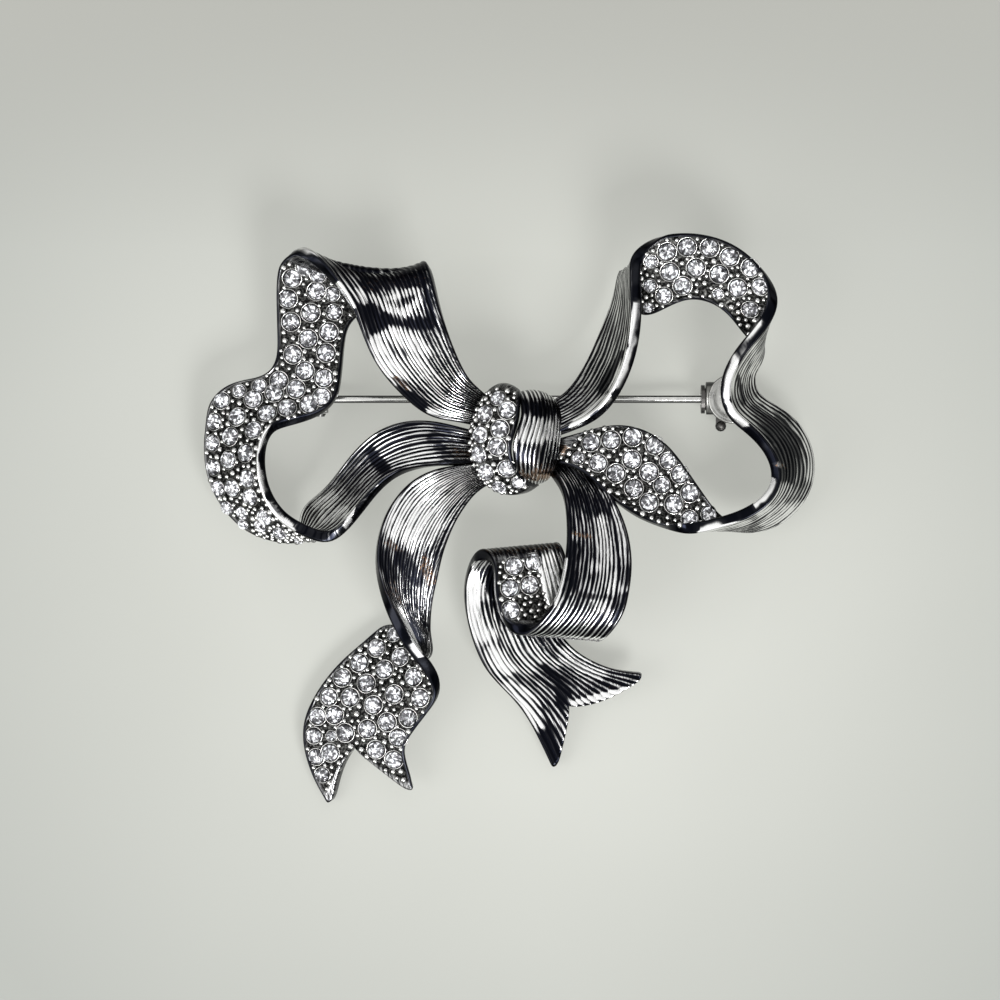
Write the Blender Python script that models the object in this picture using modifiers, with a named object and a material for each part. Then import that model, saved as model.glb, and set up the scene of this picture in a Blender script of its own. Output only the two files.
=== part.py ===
"""Bow brooch: a grooved and pave-set ribbon bow with a hinged pin and a turning safety catch.

The brooch lies on its back. +Z points out of its face, +Y to the top of the bow and +X to its right.
The origin is at the middle of its outline, on the plane that its back rests on.
"""

import math
from collections import namedtuple

import bmesh
import bpy
from mathutils import Matrix, Vector

MM = 0.001

# Overall size of the bow
BOW_WIDTH = 68.0 * MM
BOW_DEPTH = 12.0 * MM
# The tables below give places as shares of these two sizes: so many parts make the whole.
WIDTH_PARTS = 615
DEPTH_PARTS = 120

# Ribbon
RIBBON_THICK = 1.3 * MM
RIM_WIDTH = 0.45 * MM
RECESS_DEPTH = 0.7 * MM
RIM_LIP = 0.1 * MM
FIT_GAP = 0.1 * MM
BED_GAP = 0.3 * MM
# Heights over the ribbon's middle: the floor of a recess, and the two faces of the bed in it
RECESS_FLOOR = RIBBON_THICK / 2 - RECESS_DEPTH
BED_LOW = RECESS_FLOOR + FIT_GAP
BED_TOP = RIBBON_THICK / 2 - RIM_LIP

# Stones
STONE_DIA = 1.9 * MM
STONE_PITCH = 2.06 * MM
STONE_CROWN = 0.4 * MM
STONE_ROOT = 0.12 * MM
TABLE_SHARE = 0.56
STONE_SIDES = 8

# Pin, hinge and catch, all on one axis at this height over the resting plane
PIN_HEIGHT = 1.7 * MM
PIN_DIA = 0.85 * MM
PIN_TIP_LENGTH = 4.5 * MM
PIN_TIP_DIA = 0.22 * MM
RIVET_DIA = 0.8 * MM
RIVET_HEAD_DIA = 1.5 * MM
RIVET_HEAD_THICK = 0.35 * MM
RIVET_FACE_DIA = 1.05 * MM
EYE_DIA = 2.1 * MM
EYE_WIDTH = 1.2 * MM
EAR_THICK = 0.8 * MM
EAR_LENGTH = 2.8 * MM
SLEEVE_DIA = 2.5 * MM
SLEEVE_BORE = 1.4 * MM
SLEEVE_SLOT = 1.15 * MM
SLEEVE_COLLAR_DIA = 3.2 * MM
SLEEVE_COLLAR_LENGTH = 0.4 * MM
HOUSING_WALL = 0.55 * MM
HOUSING_LENGTH = 2.9 * MM
TURNING_GAP = 0.14 * MM
PAD_DIA = 6.4 * MM
PAD_THICK = 0.8 * MM
LEVER_REACH = 3.0 * MM
LEVER_WIDTH = 1.1 * MM
LEVER_THICK = 0.55 * MM
KNOB_DIA = 1.25 * MM
PIN_OVERRUN = 0.9 * MM

# Places of the pin, in shares of the bow's width from the middle of the bow
PIN_LINE_Y = 120
HINGE_X = -192
CATCH_X = 212
LEVER_X = 214
PAD_X = 228

# Angles round the catch's axis, from -Y through -Z, in degrees
HOUSING_OPEN_FROM = -20.0
LEVER_ANGLE = 0.0
SLOT_ANGLE = 90.0

ROUND_SIDES = 20
PAD_SIDES = 28
SHARP_ANGLE = 40.0

# A row of a ribbon's table is one line across the ribbon, from its first edge to its second, and how far
# its middle arches off the straight line. Heights and arches are shares of the depth.
Row = namedtuple("Row", "x1 y1 z1 x2 y2 z2 arch", defaults=(0,))

# Left loop: out over the top, folded back, down round the outside, and back to the knot.
LEFT_LOOP = (
    Row(-15, 88, 56, -12, 113, 56),
    Row(-55, 97, 76, -38, 135, 72),
    Row(-80, 101, 80, -45, 146, 85),
    Row(-107, 122, 85, -55, 168, 90),
    Row(-135, 155, 90, -64, 193, 95),
    Row(-150, 192, 95, -70, 213, 100, 3),
    Row(-158, 213, 98, -75, 233, 100, 7),
    Row(-172, 232, 98, -79, 248, 95, 10),
    Row(-188, 252, 93, -82, 254, 80, 10),
    Row(-205, 264, 83, -88, 250, 66, 6),
    Row(-219, 262, 72, -105, 235, 58, 2),
    Row(-229, 246, 63, -135, 213, 56),
    Row(-230, 218, 56, -160, 198, 56),
    Row(-229, 183, 50, -166, 173, 58),
    Row(-230, 156, 48, -169, 140, 60),
    Row(-245, 139, 46, -174, 118, 62),
    Row(-267, 134, 43, -192, 103, 65),
    Row(-286, 124, 40, -218, 96, 70),
    Row(-299, 104, 36, -238, 90, 76),
    Row(-303, 73, 33, -247, 68, 82),
    Row(-300, 43, 31, -246, 40, 86),
    Row(-287, 15, 28, -238, 18, 88),
    Row(-265, -8, 25, -226, 2, 88),
    Row(-239, -18, 23, -212, -8, 87),
    Row(-213, -21, 22, -195, -16, 86),
    Row(-198, -13, 23, -178, -18, 84),
    Row(-196, 5, 26, -164, -10, 82),
    Row(-186, 25, 32, -149, 8, 80),
    Row(-170, 46, 40, -132, 29, 78),
    Row(-152, 70, 52, -111, 45, 78),
    Row(-127, 91, 68, -85, 51, 80),
    Row(-90, 99, 78, -60, 53, 82),
    Row(-50, 91, 68, -35, 55, 64),
    Row(-15, 82, 56, -10, 58, 56),
)

# Right loop: out and up to the top, folded over, round the shoulder, under and back to the knot.
RIGHT_LOOP = (
    Row(35, 78, 82, 30, 113, 75),
    Row(65, 90, 85, 52, 120, 60),
    Row(90, 103, 88, 70, 139, 45),
    Row(110, 130, 92, 85, 164, 35),
    Row(126, 166, 96, 98, 194, 30),
    Row(131, 203, 98, 110, 220, 28),
    Row(131, 234, 98, 115, 241, 29),
    Row(135, 256, 97, 125, 256, 34),
    Row(145, 270, 95, 137, 246, 44),
    Row(158, 279, 93, 145, 214, 58),
    Row(175, 281, 92, 158, 215, 70),
    Row(195, 280, 90, 180, 220, 73),
    Row(218, 274, 90, 200, 217, 73),
    Row(242, 258, 92, 217, 207, 68),
    Row(258, 238, 94, 230, 193, 57),
    Row(264, 220, 96, 240, 183, 46),
    Row(258, 202, 96, 250, 177, 36),
    Row(246, 185, 95, 253, 167, 30),
    Row(231, 168, 93, 250, 156, 28),
    Row(218, 146, 91, 244, 145, 30),
    Row(214, 123, 90, 245, 131, 32),
    Row(221, 102, 90, 253, 119, 32),
    Row(240, 87, 90, 270, 109, 30),
    Row(258, 67, 90, 288, 93, 28),
    Row(266, 45, 90, 299, 69, 27),
    Row(262, 27, 90, 301, 42, 27),
    Row(248, 12, 89, 289, 16, 26),
    Row(229, 2, 88, 266, -4, 26),
    Row(207, -5, 87, 240, -11, 31),
    Row(182, -10, 85, 220, -4, 44),
    Row(157, -9, 83, 205, 9, 57),
    Row(134, -2, 82, 194, 24, 64),
    Row(114, 10, 81, 183, 40, 68),
    Row(96, 24, 80, 170, 59, 72),
    Row(81, 40, 80, 150, 81, 76),
    Row(66, 50, 76, 118, 94, 78),
    Row(50, 54, 69, 84, 88, 68),
    Row(30, 56, 64, 52, 80, 64),
)

# Left tail: down from the knot, turned over edge by edge, and out to a notched end.
LEFT_TAIL = (
    Row(-10, 60, 48, 8, 43, 44),
    Row(-49, 53, 68, -29, 31, 62),
    Row(-75, 49, 80, -48, 7, 80),
    Row(-99, 37, 82, -59, -15, 80),
    Row(-118, 15, 84, -67, -37, 80),
    Row(-129, -9, 84, -72, -61, 75),
    Row(-134, -37, 83, -77, -82, 68),
    Row(-131, -62, 82, -79, -102, 58),
    Row(-123, -85, 80, -79, -118, 44),
    Row(-114, -103, 79, -82, -129, 30),
    Row(-104, -121, 77, -90, -132, 19),
    Row(-94, -137, 73, -101, -128, 14),
    Row(-85, -152, 68, -112, -122, 12),
    Row(-78, -166, 62, -126, -122, 12),
    Row(-80, -179, 57, -144, -131, 14),
    Row(-89, -193, 52, -167, -150, 15),
    Row(-99, -207, 47, -188, -176, 15),
    Row(-105, -218, 43, -202, -204, 14),
    Row(-107, -230, 38, -203, -227, 13),
    Row(-105, -247, 32, -198, -250, 11),
    Row(-98, -269, 22, -177, -284, 8),
)

# Right tail: down from the knot, rolled under, up behind itself, folded again and out to a notched end.
RIGHT_TAIL = (
    Row(35, 53, 60, 80, 53, 56),
    Row(49, 35, 76, 92, 35, 68),
    Row(55, 17, 86, 105, 17, 84),
    Row(57, -4, 90, 116, -7, 88),
    Row(57, -26, 93, 121, -30, 90),
    Row(55, -44, 95, 122, -52, 92),
    Row(52, -61, 97, 119, -74, 93),
    Row(46, -80, 98, 115, -92, 92),
    Row(36, -95, 97, 106, -107, 88),
    Row(23, -108, 93, 96, -117, 79),
    Row(8, -112, 86, 89, -119, 68),
    Row(-4, -106, 80, 82, -112, 59),
    Row(-12, -90, 76, 75, -93, 56),
    Row(-15, -70, 74, 65, -67, 54),
    Row(-15, -52, 72, 58, -47, 52),
    Row(-20, -40, 68, 54, -34, 48),
    Row(-29, -36, 58, 50, -29, 40),
    Row(-37, -42, 46, 46, -34, 32),
    Row(-43, -55, 38, 41, -48, 26),
    Row(-46, -74, 34, 38, -67, 23),
    Row(-44, -97, 31, 40, -87, 22),
    Row(-38, -122, 28, 47, -107, 22),
    Row(-27, -149, 25, 58, -126, 23),
    Row(-12, -167, 22, 75, -140, 25),
    Row(6, -185, 19, 94, -149, 28),
    Row(23, -209, 15, 111, -154, 31),
    Row(46, -246, 9, 130, -156, 34),
)

# The knot is two short bands over the crossing of the ribbons: a grooved wrap and a stone-set dome.
KNOT_WRAP = (
    Row(8, 117, 64, 38, 112, 50, 5),
    Row(9, 121, 90, 44, 114, 70, 7),
    Row(11, 113, 105, 47, 106, 78, 7),
    Row(12, 101, 112, 48, 92, 81, 7),
    Row(7, 87, 113, 47, 77, 81, 7),
    Row(3, 73, 111, 45, 64, 79, 7),
    Row(4, 59, 105, 42, 53, 76, 7),
    Row(9, 47, 92, 38, 45, 70, 6),
    Row(16, 42, 72, 36, 43, 56, 4),
)
KNOT_DOME = (
    Row(-16, 117, 58, 7, 120, 62, 9),
    Row(-21, 117, 68, 9, 123, 90, 12),
    Row(-30, 105, 67, 11, 112, 105, 13),
    Row(-35, 88, 66, 9, 94, 111, 13),
    Row(-36, 69, 66, 2, 75, 110, 13),
    Row(-31, 53, 64, 3, 58, 103, 13),
    Row(-24, 41, 62, 11, 45, 92, 12),
    Row(-15, 36, 58, 20, 38, 76, 10),
    Row(-3, 36, 52, 27, 37, 60, 7),
)

# A ribbon: its table, where its notch is (row and share across), and its number of facets across.
Ribbon = namedtuple("Ribbon", "rows notch_row notch_share columns")
RIBBONS = {
    "left_loop": Ribbon(LEFT_LOOP, None, 0.5, 3),
    "right_loop": Ribbon(RIGHT_LOOP, None, 0.5, 2),
    "left_tail": Ribbon(LEFT_TAIL, 18, 0.5, 4),
    "right_tail": Ribbon(RIGHT_TAIL, 25, 0.4, 4),
    "knot_wrap": Ribbon(KNOT_WRAP, None, 0.5, 4),
    "knot_dome": Ribbon(KNOT_DOME, None, 0.5, 4),
}
STEPS_PER_ROW = 1.6
# The lines along a notched ribbon begin to end at different places this many rows before the notch.
NOTCH_LEAD = 2
# A notched end is a V whose sides bulge: the power of the share across, from the notch to a tip.
NOTCH_POWER = 0.7

# A field of stones: its ribbon, the face it is set in (1 is the face that the ribbon's rows turn to), the
# rows where it starts and ends, the share across where its rim stops, and its number of facets across.
Field = namedtuple("Field", "ribbon side start end share_to columns")
FIELDS = {
    "left_loop_pave": Field("left_loop", 1, 10.3, 24.4, 1.0, 2),
    "right_loop_top_pave": Field("right_loop", -1, 8.8, 15.0, 1.0, 2),
    "right_loop_lower_pave": Field("right_loop", -1, 29.7, 35.4, 1.0, 2),
    "knot_pave": Field("knot_dome", 1, 1.1, 6.9, 1.0, 4),
    "left_tail_pave": Field("left_tail", -1, 12.8, 19.5, 1.0, 4),
    "curl_pave": Field("right_tail", -1, 11.7, 14.6, 0.64, 2),
}

# Colours: base colour, metallic value and roughness
SILVER = ("bright_silver", (0.80, 0.80, 0.82), 1.0, 0.12)
CRYSTAL = ("clear_crystal", (0.86, 0.89, 0.93), 0.2, 0.05)
STEEL = ("pin_steel", (0.70, 0.70, 0.72), 1.0, 0.2)


def clear_scene():
    """Empty the scene that this script runs in."""
    for item in list(bpy.data.objects):
        bpy.data.objects.remove(item, do_unlink=True)


def new_collection(name):
    """Make a collection in the scene."""
    collection = bpy.data.collections.new(name)
    bpy.context.scene.collection.children.link(collection)
    return collection


def new_material(name, colour, metallic, roughness):
    """Make a Principled material."""
    material = bpy.data.materials.new(name)
    material.use_nodes = True
    shader = material.node_tree.nodes["Principled BSDF"]
    shader.inputs["Base Color"].default_value = (*colour, 1.0)
    shader.inputs["Metallic"].default_value = metallic
    shader.inputs["Roughness"].default_value = roughness
    return material


def across(parts):
    """Length of so many parts of the bow's width."""
    return parts * BOW_WIDTH / WIDTH_PARTS


def up(parts):
    """Height of so many parts of the bow's depth."""
    return parts * BOW_DEPTH / DEPTH_PARTS


def edge_points(rows):
    """Both edges of a ribbon as lists of points."""
    first = [Vector((across(row.x1), across(row.y1), up(row.z1))) for row in rows]
    second = [Vector((across(row.x2), across(row.y2), up(row.z2))) for row in rows]
    return first, second


def knots_along(first, second):
    """Centripetal parameter of each row, shared by both edges."""
    knots = [0.0]
    for index in range(1, len(first)):
        first_step = first[index] - first[index - 1]
        second_step = second[index] - second[index - 1]
        middle_step = (first_step + second_step) / 2
        step = max(middle_step.length, first_step.length / 2, second_step.length / 2)
        knots.append(knots[-1] + math.sqrt(step))
    return knots


def spline_point(points, knots, place):
    """Point at a place counted in rows, on a smooth curve through the points."""
    index = min(max(int(place), 0), len(points) - 2)
    before = max(index - 1, 0)
    after = min(index + 2, len(points) - 1)
    span = knots[index + 1] - knots[index]
    slope_in = (points[index + 1] - points[before]) / (knots[index + 1] - knots[before])
    slope_out = (points[after] - points[index]) / (knots[after] - knots[index])
    share = place - index
    squared = share * share
    cubed = squared * share
    return (
        points[index] * (2 * cubed - 3 * squared + 1)
        + slope_in * span * (cubed - 2 * squared + share)
        + points[index + 1] * (3 * squared - 2 * cubed)
        + slope_out * span * (cubed - squared)
    )


class Strip:
    """The middle surface of a ribbon, read at a place along it and a share across it."""

    def __init__(self, ribbon):
        self.ribbon = ribbon
        self.first, self.second = edge_points(ribbon.rows)
        self.knots = knots_along(self.first, self.second)
        self.length = len(ribbon.rows) - 1
        self.arches = [up(row.arch) for row in ribbon.rows]

    def edges(self, place):
        """The two edge points at a place."""
        return spline_point(self.first, self.knots, place), spline_point(self.second, self.knots, place)

    def flat_point(self, place, share):
        """Point on the straight line across the ribbon."""
        start, end = self.edges(place)
        return start.lerp(end, share)

    def flat_normal(self, place, share):
        """Unit normal of the surface without its arch."""
        small = 0.02
        low = min(max(place - small, 0.0), self.length - 2 * small)
        along = self.flat_point(low + 2 * small, share) - self.flat_point(low, share)
        start, end = self.edges(place)
        return along.cross(end - start).normalized()

    def point(self, place, share):
        """Point on the arched surface."""
        rise = self.arch(place) * 4 * share * (1 - share)
        return self.flat_point(place, share) + self.flat_normal(place, share) * rise

    def arch(self, place):
        """How far the middle of the ribbon arches off its straight line."""
        index = min(int(place), self.length - 1)
        return self.arches[index] + (place - index) * (self.arches[index + 1] - self.arches[index])

    def normal(self, place, share):
        """Unit normal of the arched surface."""
        small = 0.02
        low = min(max(place - small, 0.0), self.length - 2 * small)
        left = min(max(share - small, 0.0), 1 - 2 * small)
        along = self.point(low + 2 * small, share) - self.point(low, share)
        over = self.point(place, left + 2 * small) - self.point(place, left)
        return along.cross(over).normalized()

    def lifted(self, place, share, height):
        """Point at a height over the arched surface."""
        return self.point(place, share) + self.normal(place, share) * height

    def end_at(self, share, end):
        """Last place of the ribbon at a share across it: a notched end is a V."""
        notch = self.ribbon.notch_row
        if notch is None or end <= notch:
            return end
        middle = self.ribbon.notch_share
        reach = middle if share < middle else 1 - middle
        return notch + (end - notch) * (abs(share - middle) / reach) ** NOTCH_POWER

    def place_at(self, count, share, start, end):
        """Place of a grid line that is counted from start to end, stretched to the notched end."""
        place = start + count * (end - start)
        split = self.split_row(end)
        if place <= split or split >= end:
            return place
        return split + (place - split) * (self.end_at(share, end) - split) / (end - split)

    def split_row(self, end):
        """Place where the lines along a notched ribbon begin to end at different places."""
        notch = self.ribbon.notch_row
        return end if notch is None or end <= notch else notch - NOTCH_LEAD

    def share_of(self, place, length):
        """What share of the ribbon's width a length is."""
        start, end = self.edges(place)
        return length / (end - start).length


STRIPS = {name: Strip(ribbon) for name, ribbon in RIBBONS.items()}


def grid_object(name, collection, steps, columns, locate):
    """Make an open grid whose points are placed by a function of two shares from 0 to 1."""
    bm = bmesh.new()
    bmesh.ops.create_grid(bm, x_segments=steps, y_segments=columns, size=0.5)
    for vertex in bm.verts:
        vertex.co = locate(vertex.co.x + 0.5, vertex.co.y + 0.5)
    return mesh_object(name, bm, collection)


def thicken(item, thick):
    """Turn an open grid into a wall with the grid in its middle."""
    solidify = item.modifiers.new("Wall", "SOLIDIFY")
    solidify.thickness = thick
    solidify.offset = 0.0
    item.modifiers.new("Flat facets", "TRIANGULATE")
    return item


def as_helper(item):
    """Mark an object as one that only shapes others."""
    item.hide_render = True
    item.display_type = "WIRE"
    return item


def column_share(count, ribbon):
    """Spread the columns of a grid so that one of them meets the notch."""
    middle = ribbon.notch_share
    return count * middle / 0.5 if count <= 0.5 else middle + (count - 0.5) * (1 - middle) / 0.5


def ribbon_wall(name, item_name, collection, helpers):
    """One ribbon as a closed wall, with the recesses of its stone fields cut into it."""
    strip = STRIPS[name]
    ribbon = strip.ribbon
    steps = math.ceil(strip.length * STEPS_PER_ROW)

    def locate(count, even):
        share = column_share(even, ribbon)
        return strip.point(strip.place_at(count, share, 0.0, strip.length), share)

    item = thicken(grid_object(item_name, collection, steps, ribbon.columns, locate), RIBBON_THICK)
    roof = RIBBON_THICK
    for field_name, field in FIELDS.items():
        if field.ribbon == name:
            recess = field_wall(field_name + "_recess", field, helpers, BED_GAP, RECESS_FLOOR, roof)
            combine(item, as_helper(recess), "DIFFERENCE")
    return item


def field_wall(name, field, collection, grow, low, high):
    """A wall over a field's ground: grown sideways by a length, between two heights over the middle."""
    strip = STRIPS[field.ribbon]
    inset = RIM_WIDTH + BED_GAP - grow
    steps = math.ceil((field.end - field.start) * STEPS_PER_ROW)
    middle = field.side * (low + high) / 2

    def locate(count, even):
        wide = column_share(even, strip.ribbon)
        place = strip.place_at(count, wide * field.share_to, field.start, field.end)
        place += grow_along(strip, place, grow) * (2 * count - 1)
        margin = strip.share_of(place, inset)
        share = margin + wide * (field.share_to - 2 * margin)
        return strip.lifted(place, share, middle)

    item = grid_object(name, collection, steps, field.columns, locate)
    return thicken(item, high - low)


def grow_along(strip, place, grow):
    """How many rows a length along the ribbon takes up."""
    index = min(int(place), strip.length - 1)
    step = (strip.flat_point(index + 1, 0.5) - strip.flat_point(index, 0.5)).length
    return grow / step


def stone_places(field):
    """Places of a field's stones, packed from its start along the ribbon without touching."""
    strip = STRIPS[field.ribbon]
    lanes = 12
    stations_per_row = 12
    margin = RIM_WIDTH + FIT_GAP + STONE_DIA / 2
    stations = int((field.end - field.start) * stations_per_row)
    rim = [
        point
        for station in range(-2 * stations_per_row, stations + 2 * stations_per_row)
        for point in strip.edges(field.start + station / stations_per_row)
    ]
    placed = []
    for station in range(stations + 1):
        for lane in range(lanes + 1):
            place = field.start + station / stations_per_row
            first = strip.share_of(place, margin)
            last = field.share_to - first
            if last < first:
                continue
            share = first + (last - first) * lane / lanes
            if not clear_of_ends(strip, field, place, share):
                continue
            middle = strip.point(place, share)
            if any((middle - point).length < margin for point in rim):
                continue
            spot = strip.lifted(place, share, field.side * BED_TOP)
            if all((spot - other[0]).length >= STONE_PITCH for other in placed):
                placed.append((spot, strip.normal(place, share) * field.side))
    return placed


def clear_of_ends(strip, field, place, share):
    """Whether a stone lies inside the two ends of its field."""
    reach = STONE_DIA / 2
    along = grow_along(strip, place, reach)
    half = strip.share_of(place, reach)
    ends = [strip.end_at(min(max(share + half * part, 0), 1), field.end) for part in (-1, 0, 1)]
    return field.start + along <= place <= min(ends) - along


def add_stone(bm, spot, normal):
    """A round stone cut with eight facets and a table, its root sunk in the bed."""
    girdle = STONE_DIA / 2
    height = STONE_CROWN + STONE_ROOT
    turn = normal.to_track_quat("Z", "Y").to_matrix().to_4x4()
    middle = Matrix.Translation((0, 0, (STONE_CROWN - STONE_ROOT) / 2))
    bmesh.ops.create_cone(
        bm,
        cap_ends=True,
        segments=STONE_SIDES,
        radius1=girdle,
        radius2=girdle * TABLE_SHARE,
        depth=height,
        matrix=Matrix.Translation(spot) @ turn @ middle,
    )


def stones_object(name, places, collection):
    """All stones of one field as one helper mesh."""
    bm = bmesh.new()
    for spot, normal in places:
        add_stone(bm, spot, normal)
    return as_helper(mesh_object(name, bm, collection))


def combine(item, other, operation):
    """Join to an object or cut from it, with a Boolean modifier."""
    modifier = item.modifiers.new(operation.title(), "BOOLEAN")
    modifier.operation = operation
    modifier.object = other
    modifier.solver = "EXACT"


def join_all(item, collection):
    """Join every object of a collection to an object, in one Boolean modifier."""
    modifier = item.modifiers.new("Solder", "BOOLEAN")
    modifier.operation = "UNION"
    modifier.operand_type = "COLLECTION"
    modifier.collection = collection
    modifier.solver = "EXACT"


def block(name, collection, low, high):
    """A box between two corners."""
    bm = bmesh.new()
    bmesh.ops.create_cube(bm, size=1.0)
    for vertex in bm.verts:
        vertex.co = Vector(
            low[axis] + (vertex.co[axis] + 0.5) * (high[axis] - low[axis]) for axis in range(3)
        )
    return mesh_object(name, bm, collection)


def mesh_object(name, bm, collection):
    """Make an object of a bmesh."""
    mesh = bpy.data.meshes.new(name)
    bm.to_mesh(mesh)
    bm.free()
    item = bpy.data.objects.new(name, mesh)
    collection.objects.link(item)
    return item


def cylinder(name, collection, middle, axis, radius, length, sides=ROUND_SIDES):
    """A cylinder about a middle point, along an axis."""
    bm = bmesh.new()
    turn = Vector(axis).to_track_quat("Z", "Y").to_matrix().to_4x4()
    bmesh.ops.create_cone(
        bm,
        cap_ends=True,
        segments=sides,
        radius1=radius,
        radius2=radius,
        depth=length,
        matrix=Matrix.Translation(middle) @ turn,
    )
    item = mesh_object(name, bm, collection)
    item.data.shade_smooth()
    item.data.set_sharp_from_angle(angle=math.radians(SHARP_ANGLE))
    return item


def catch_direction(angle):
    """Direction across the catch's axis, counted from -Y through -Z."""
    turn = math.radians(angle)
    return Vector((0.0, -math.cos(turn), -math.sin(turn)))


def sector(name, collection, middle, length, reach, from_angle, to_angle):
    """A wedge about the catch's axis, as a fan that is extruded along X."""
    bm = bmesh.new()
    steps = 8
    left = middle - Vector((length / 2, 0, 0))
    corners = [bm.verts.new(left)]
    for step in range(steps + 1):
        angle = from_angle + (to_angle - from_angle) * step / steps
        corners.append(bm.verts.new(left + catch_direction(angle) * reach))
    face = bm.faces.new(corners)
    sides = bmesh.ops.extrude_face_region(bm, geom=[face])["geom"]
    moved = [part for part in sides if isinstance(part, bmesh.types.BMVert)]
    bmesh.ops.translate(bm, verts=moved, vec=(length, 0, 0))
    bmesh.ops.recalc_face_normals(bm, faces=bm.faces)
    return as_helper(mesh_object(name, bm, collection))


def surface_height(strip, x, y):
    """Height of a ribbon's middle surface at the sample of it that is nearest to a place in plan."""
    samples = 8
    near = []
    for step in range(strip.length * samples + 1):
        for lane in range(samples + 1):
            spot = strip.point(step / samples, lane / samples)
            near.append((math.hypot(spot.x - x, spot.y - y), spot.z))
    return min(near)[1]


HINGE_AT = Vector((across(HINGE_X), across(PIN_LINE_Y), PIN_HEIGHT))
CATCH_AT = Vector((across(CATCH_X), across(PIN_LINE_Y), PIN_HEIGHT))
HOUSING_BORE = SLEEVE_DIA + 2 * TURNING_GAP
HOUSING_DIA = HOUSING_BORE + 2 * HOUSING_WALL
SLEEVE_LENGTH = HOUSING_LENGTH + 2 * TURNING_GAP + 2 * SLEEVE_COLLAR_LENGTH
EAR_GAP = EYE_WIDTH + 2 * FIT_GAP


def make_hinge_bracket(soldered, helpers):
    """Two ears under a block that is soldered to the back of the left loop."""
    half_gap = EAR_GAP / 2
    half_width = half_gap + EAR_THICK
    block_low = PIN_HEIGHT + EYE_DIA / 2 + FIT_GAP
    low = Vector((HINGE_AT.x - EAR_LENGTH / 2, HINGE_AT.y - half_width, 0.0))
    high = Vector((HINGE_AT.x + EAR_LENGTH / 2, HINGE_AT.y + half_width, 0.0))
    corners = [(x, y) for x in (low.x, high.x) for y in (low.y, high.y)]
    high.z = min(surface_height(STRIPS["left_loop"], x, y) for x, y in corners) - RIBBON_THICK / 4
    bracket = as_helper(block("hinge_bracket", soldered, low, high))
    slot_low = Vector((low.x - MM, HINGE_AT.y - half_gap, -MM))
    slot_high = Vector((high.x + MM, HINGE_AT.y + half_gap, block_low))
    slot = block("hinge_slot", helpers, slot_low, slot_high)
    hole_radius = RIVET_DIA / 2 + FIT_GAP
    hole = cylinder("hinge_hole", helpers, HINGE_AT, (0, 1, 0), hole_radius, 4 * half_width)
    combine(bracket, as_helper(slot), "DIFFERENCE")
    combine(bracket, as_helper(hole), "DIFFERENCE")


def make_catch_base(soldered, helpers):
    """A round pad on the back of the right loop, with the catch's open housing under it."""
    housing = cylinder("catch_housing", soldered, CATCH_AT, (1, 0, 0), HOUSING_DIA / 2, HOUSING_LENGTH)
    pad_low = PIN_HEIGHT + SLEEVE_COLLAR_DIA / 2 + TURNING_GAP
    pad_at = Vector((across(PAD_X), CATCH_AT.y, pad_low + PAD_THICK / 2))
    as_helper(cylinder("catch_pad", soldered, pad_at, (0, 0, 1), PAD_DIA / 2, PAD_THICK, PAD_SIDES))
    bore = cylinder("catch_bore", helpers, CATCH_AT, (1, 0, 0), HOUSING_BORE / 2, 2 * HOUSING_LENGTH)
    open_to = 180 - math.degrees(math.asin(PIN_HEIGHT / (HOUSING_DIA / 2)))
    opening = sector(
        "catch_opening",
        helpers,
        CATCH_AT,
        2 * HOUSING_LENGTH,
        HOUSING_DIA,
        HOUSING_OPEN_FROM,
        open_to,
    )
    combine(as_helper(housing), as_helper(bore), "DIFFERENCE")
    combine(housing, opening, "DIFFERENCE")


def make_casting(parts, soldered, helpers, material):
    """The whole soldered bow: ribbons, knot, recesses, hinge bracket and catch base."""
    base, *others = RIBBONS
    casting = ribbon_wall(base, "bow_casting", parts, helpers)
    for name in others:
        as_helper(ribbon_wall(name, name, soldered, helpers))
    make_hinge_bracket(soldered, helpers)
    make_catch_base(soldered, helpers)
    join_all(casting, soldered)
    casting.data.materials.append(material)
    return casting


def make_field(name, field, parts, helpers, material):
    """A bed of stones as one body."""
    bed = field_wall(name, field, parts, 0.0, BED_LOW, BED_TOP)
    stones = stones_object(name + "_stones", stone_places(field), helpers)
    combine(bed, stones, "UNION")
    bed.data.materials.append(material)
    return bed


def turned(name, collection, profile, axis):
    """A turned piece: a profile of (place along, radius) pairs, wound about the X or Y axis."""
    bm = bmesh.new()
    corners = []
    for along, radius in profile:
        spot = (along, radius, 0.0) if axis == "X" else (-radius, along, 0.0)
        corners.append(bm.verts.new(spot))
    for start, end in zip(corners, corners[1:]):
        bm.edges.new((start, end))
    item = mesh_object(name, bm, collection)
    screw = item.modifiers.new("Turn", "SCREW")
    screw.axis = axis
    screw.steps = ROUND_SIDES
    screw.render_steps = ROUND_SIDES
    screw.use_merge_vertices = True
    screw.merge_threshold = 0.00001
    return item


def make_rivet(parts, material):
    """The rivet through the ears and the eye, with a head at each end."""
    inner = EAR_GAP / 2 + EAR_THICK + FIT_GAP
    outer = inner + RIVET_HEAD_THICK
    radius = RIVET_DIA / 2
    half = ((outer, 0.0), (outer, RIVET_FACE_DIA / 2), (inner, RIVET_HEAD_DIA / 2), (inner, radius))
    profile = half + tuple((-along, reach) for along, reach in reversed(half))
    item = turned("hinge_rivet", parts, profile, "Y")
    item.location = HINGE_AT
    item.data.materials.append(material)
    return item


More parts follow.
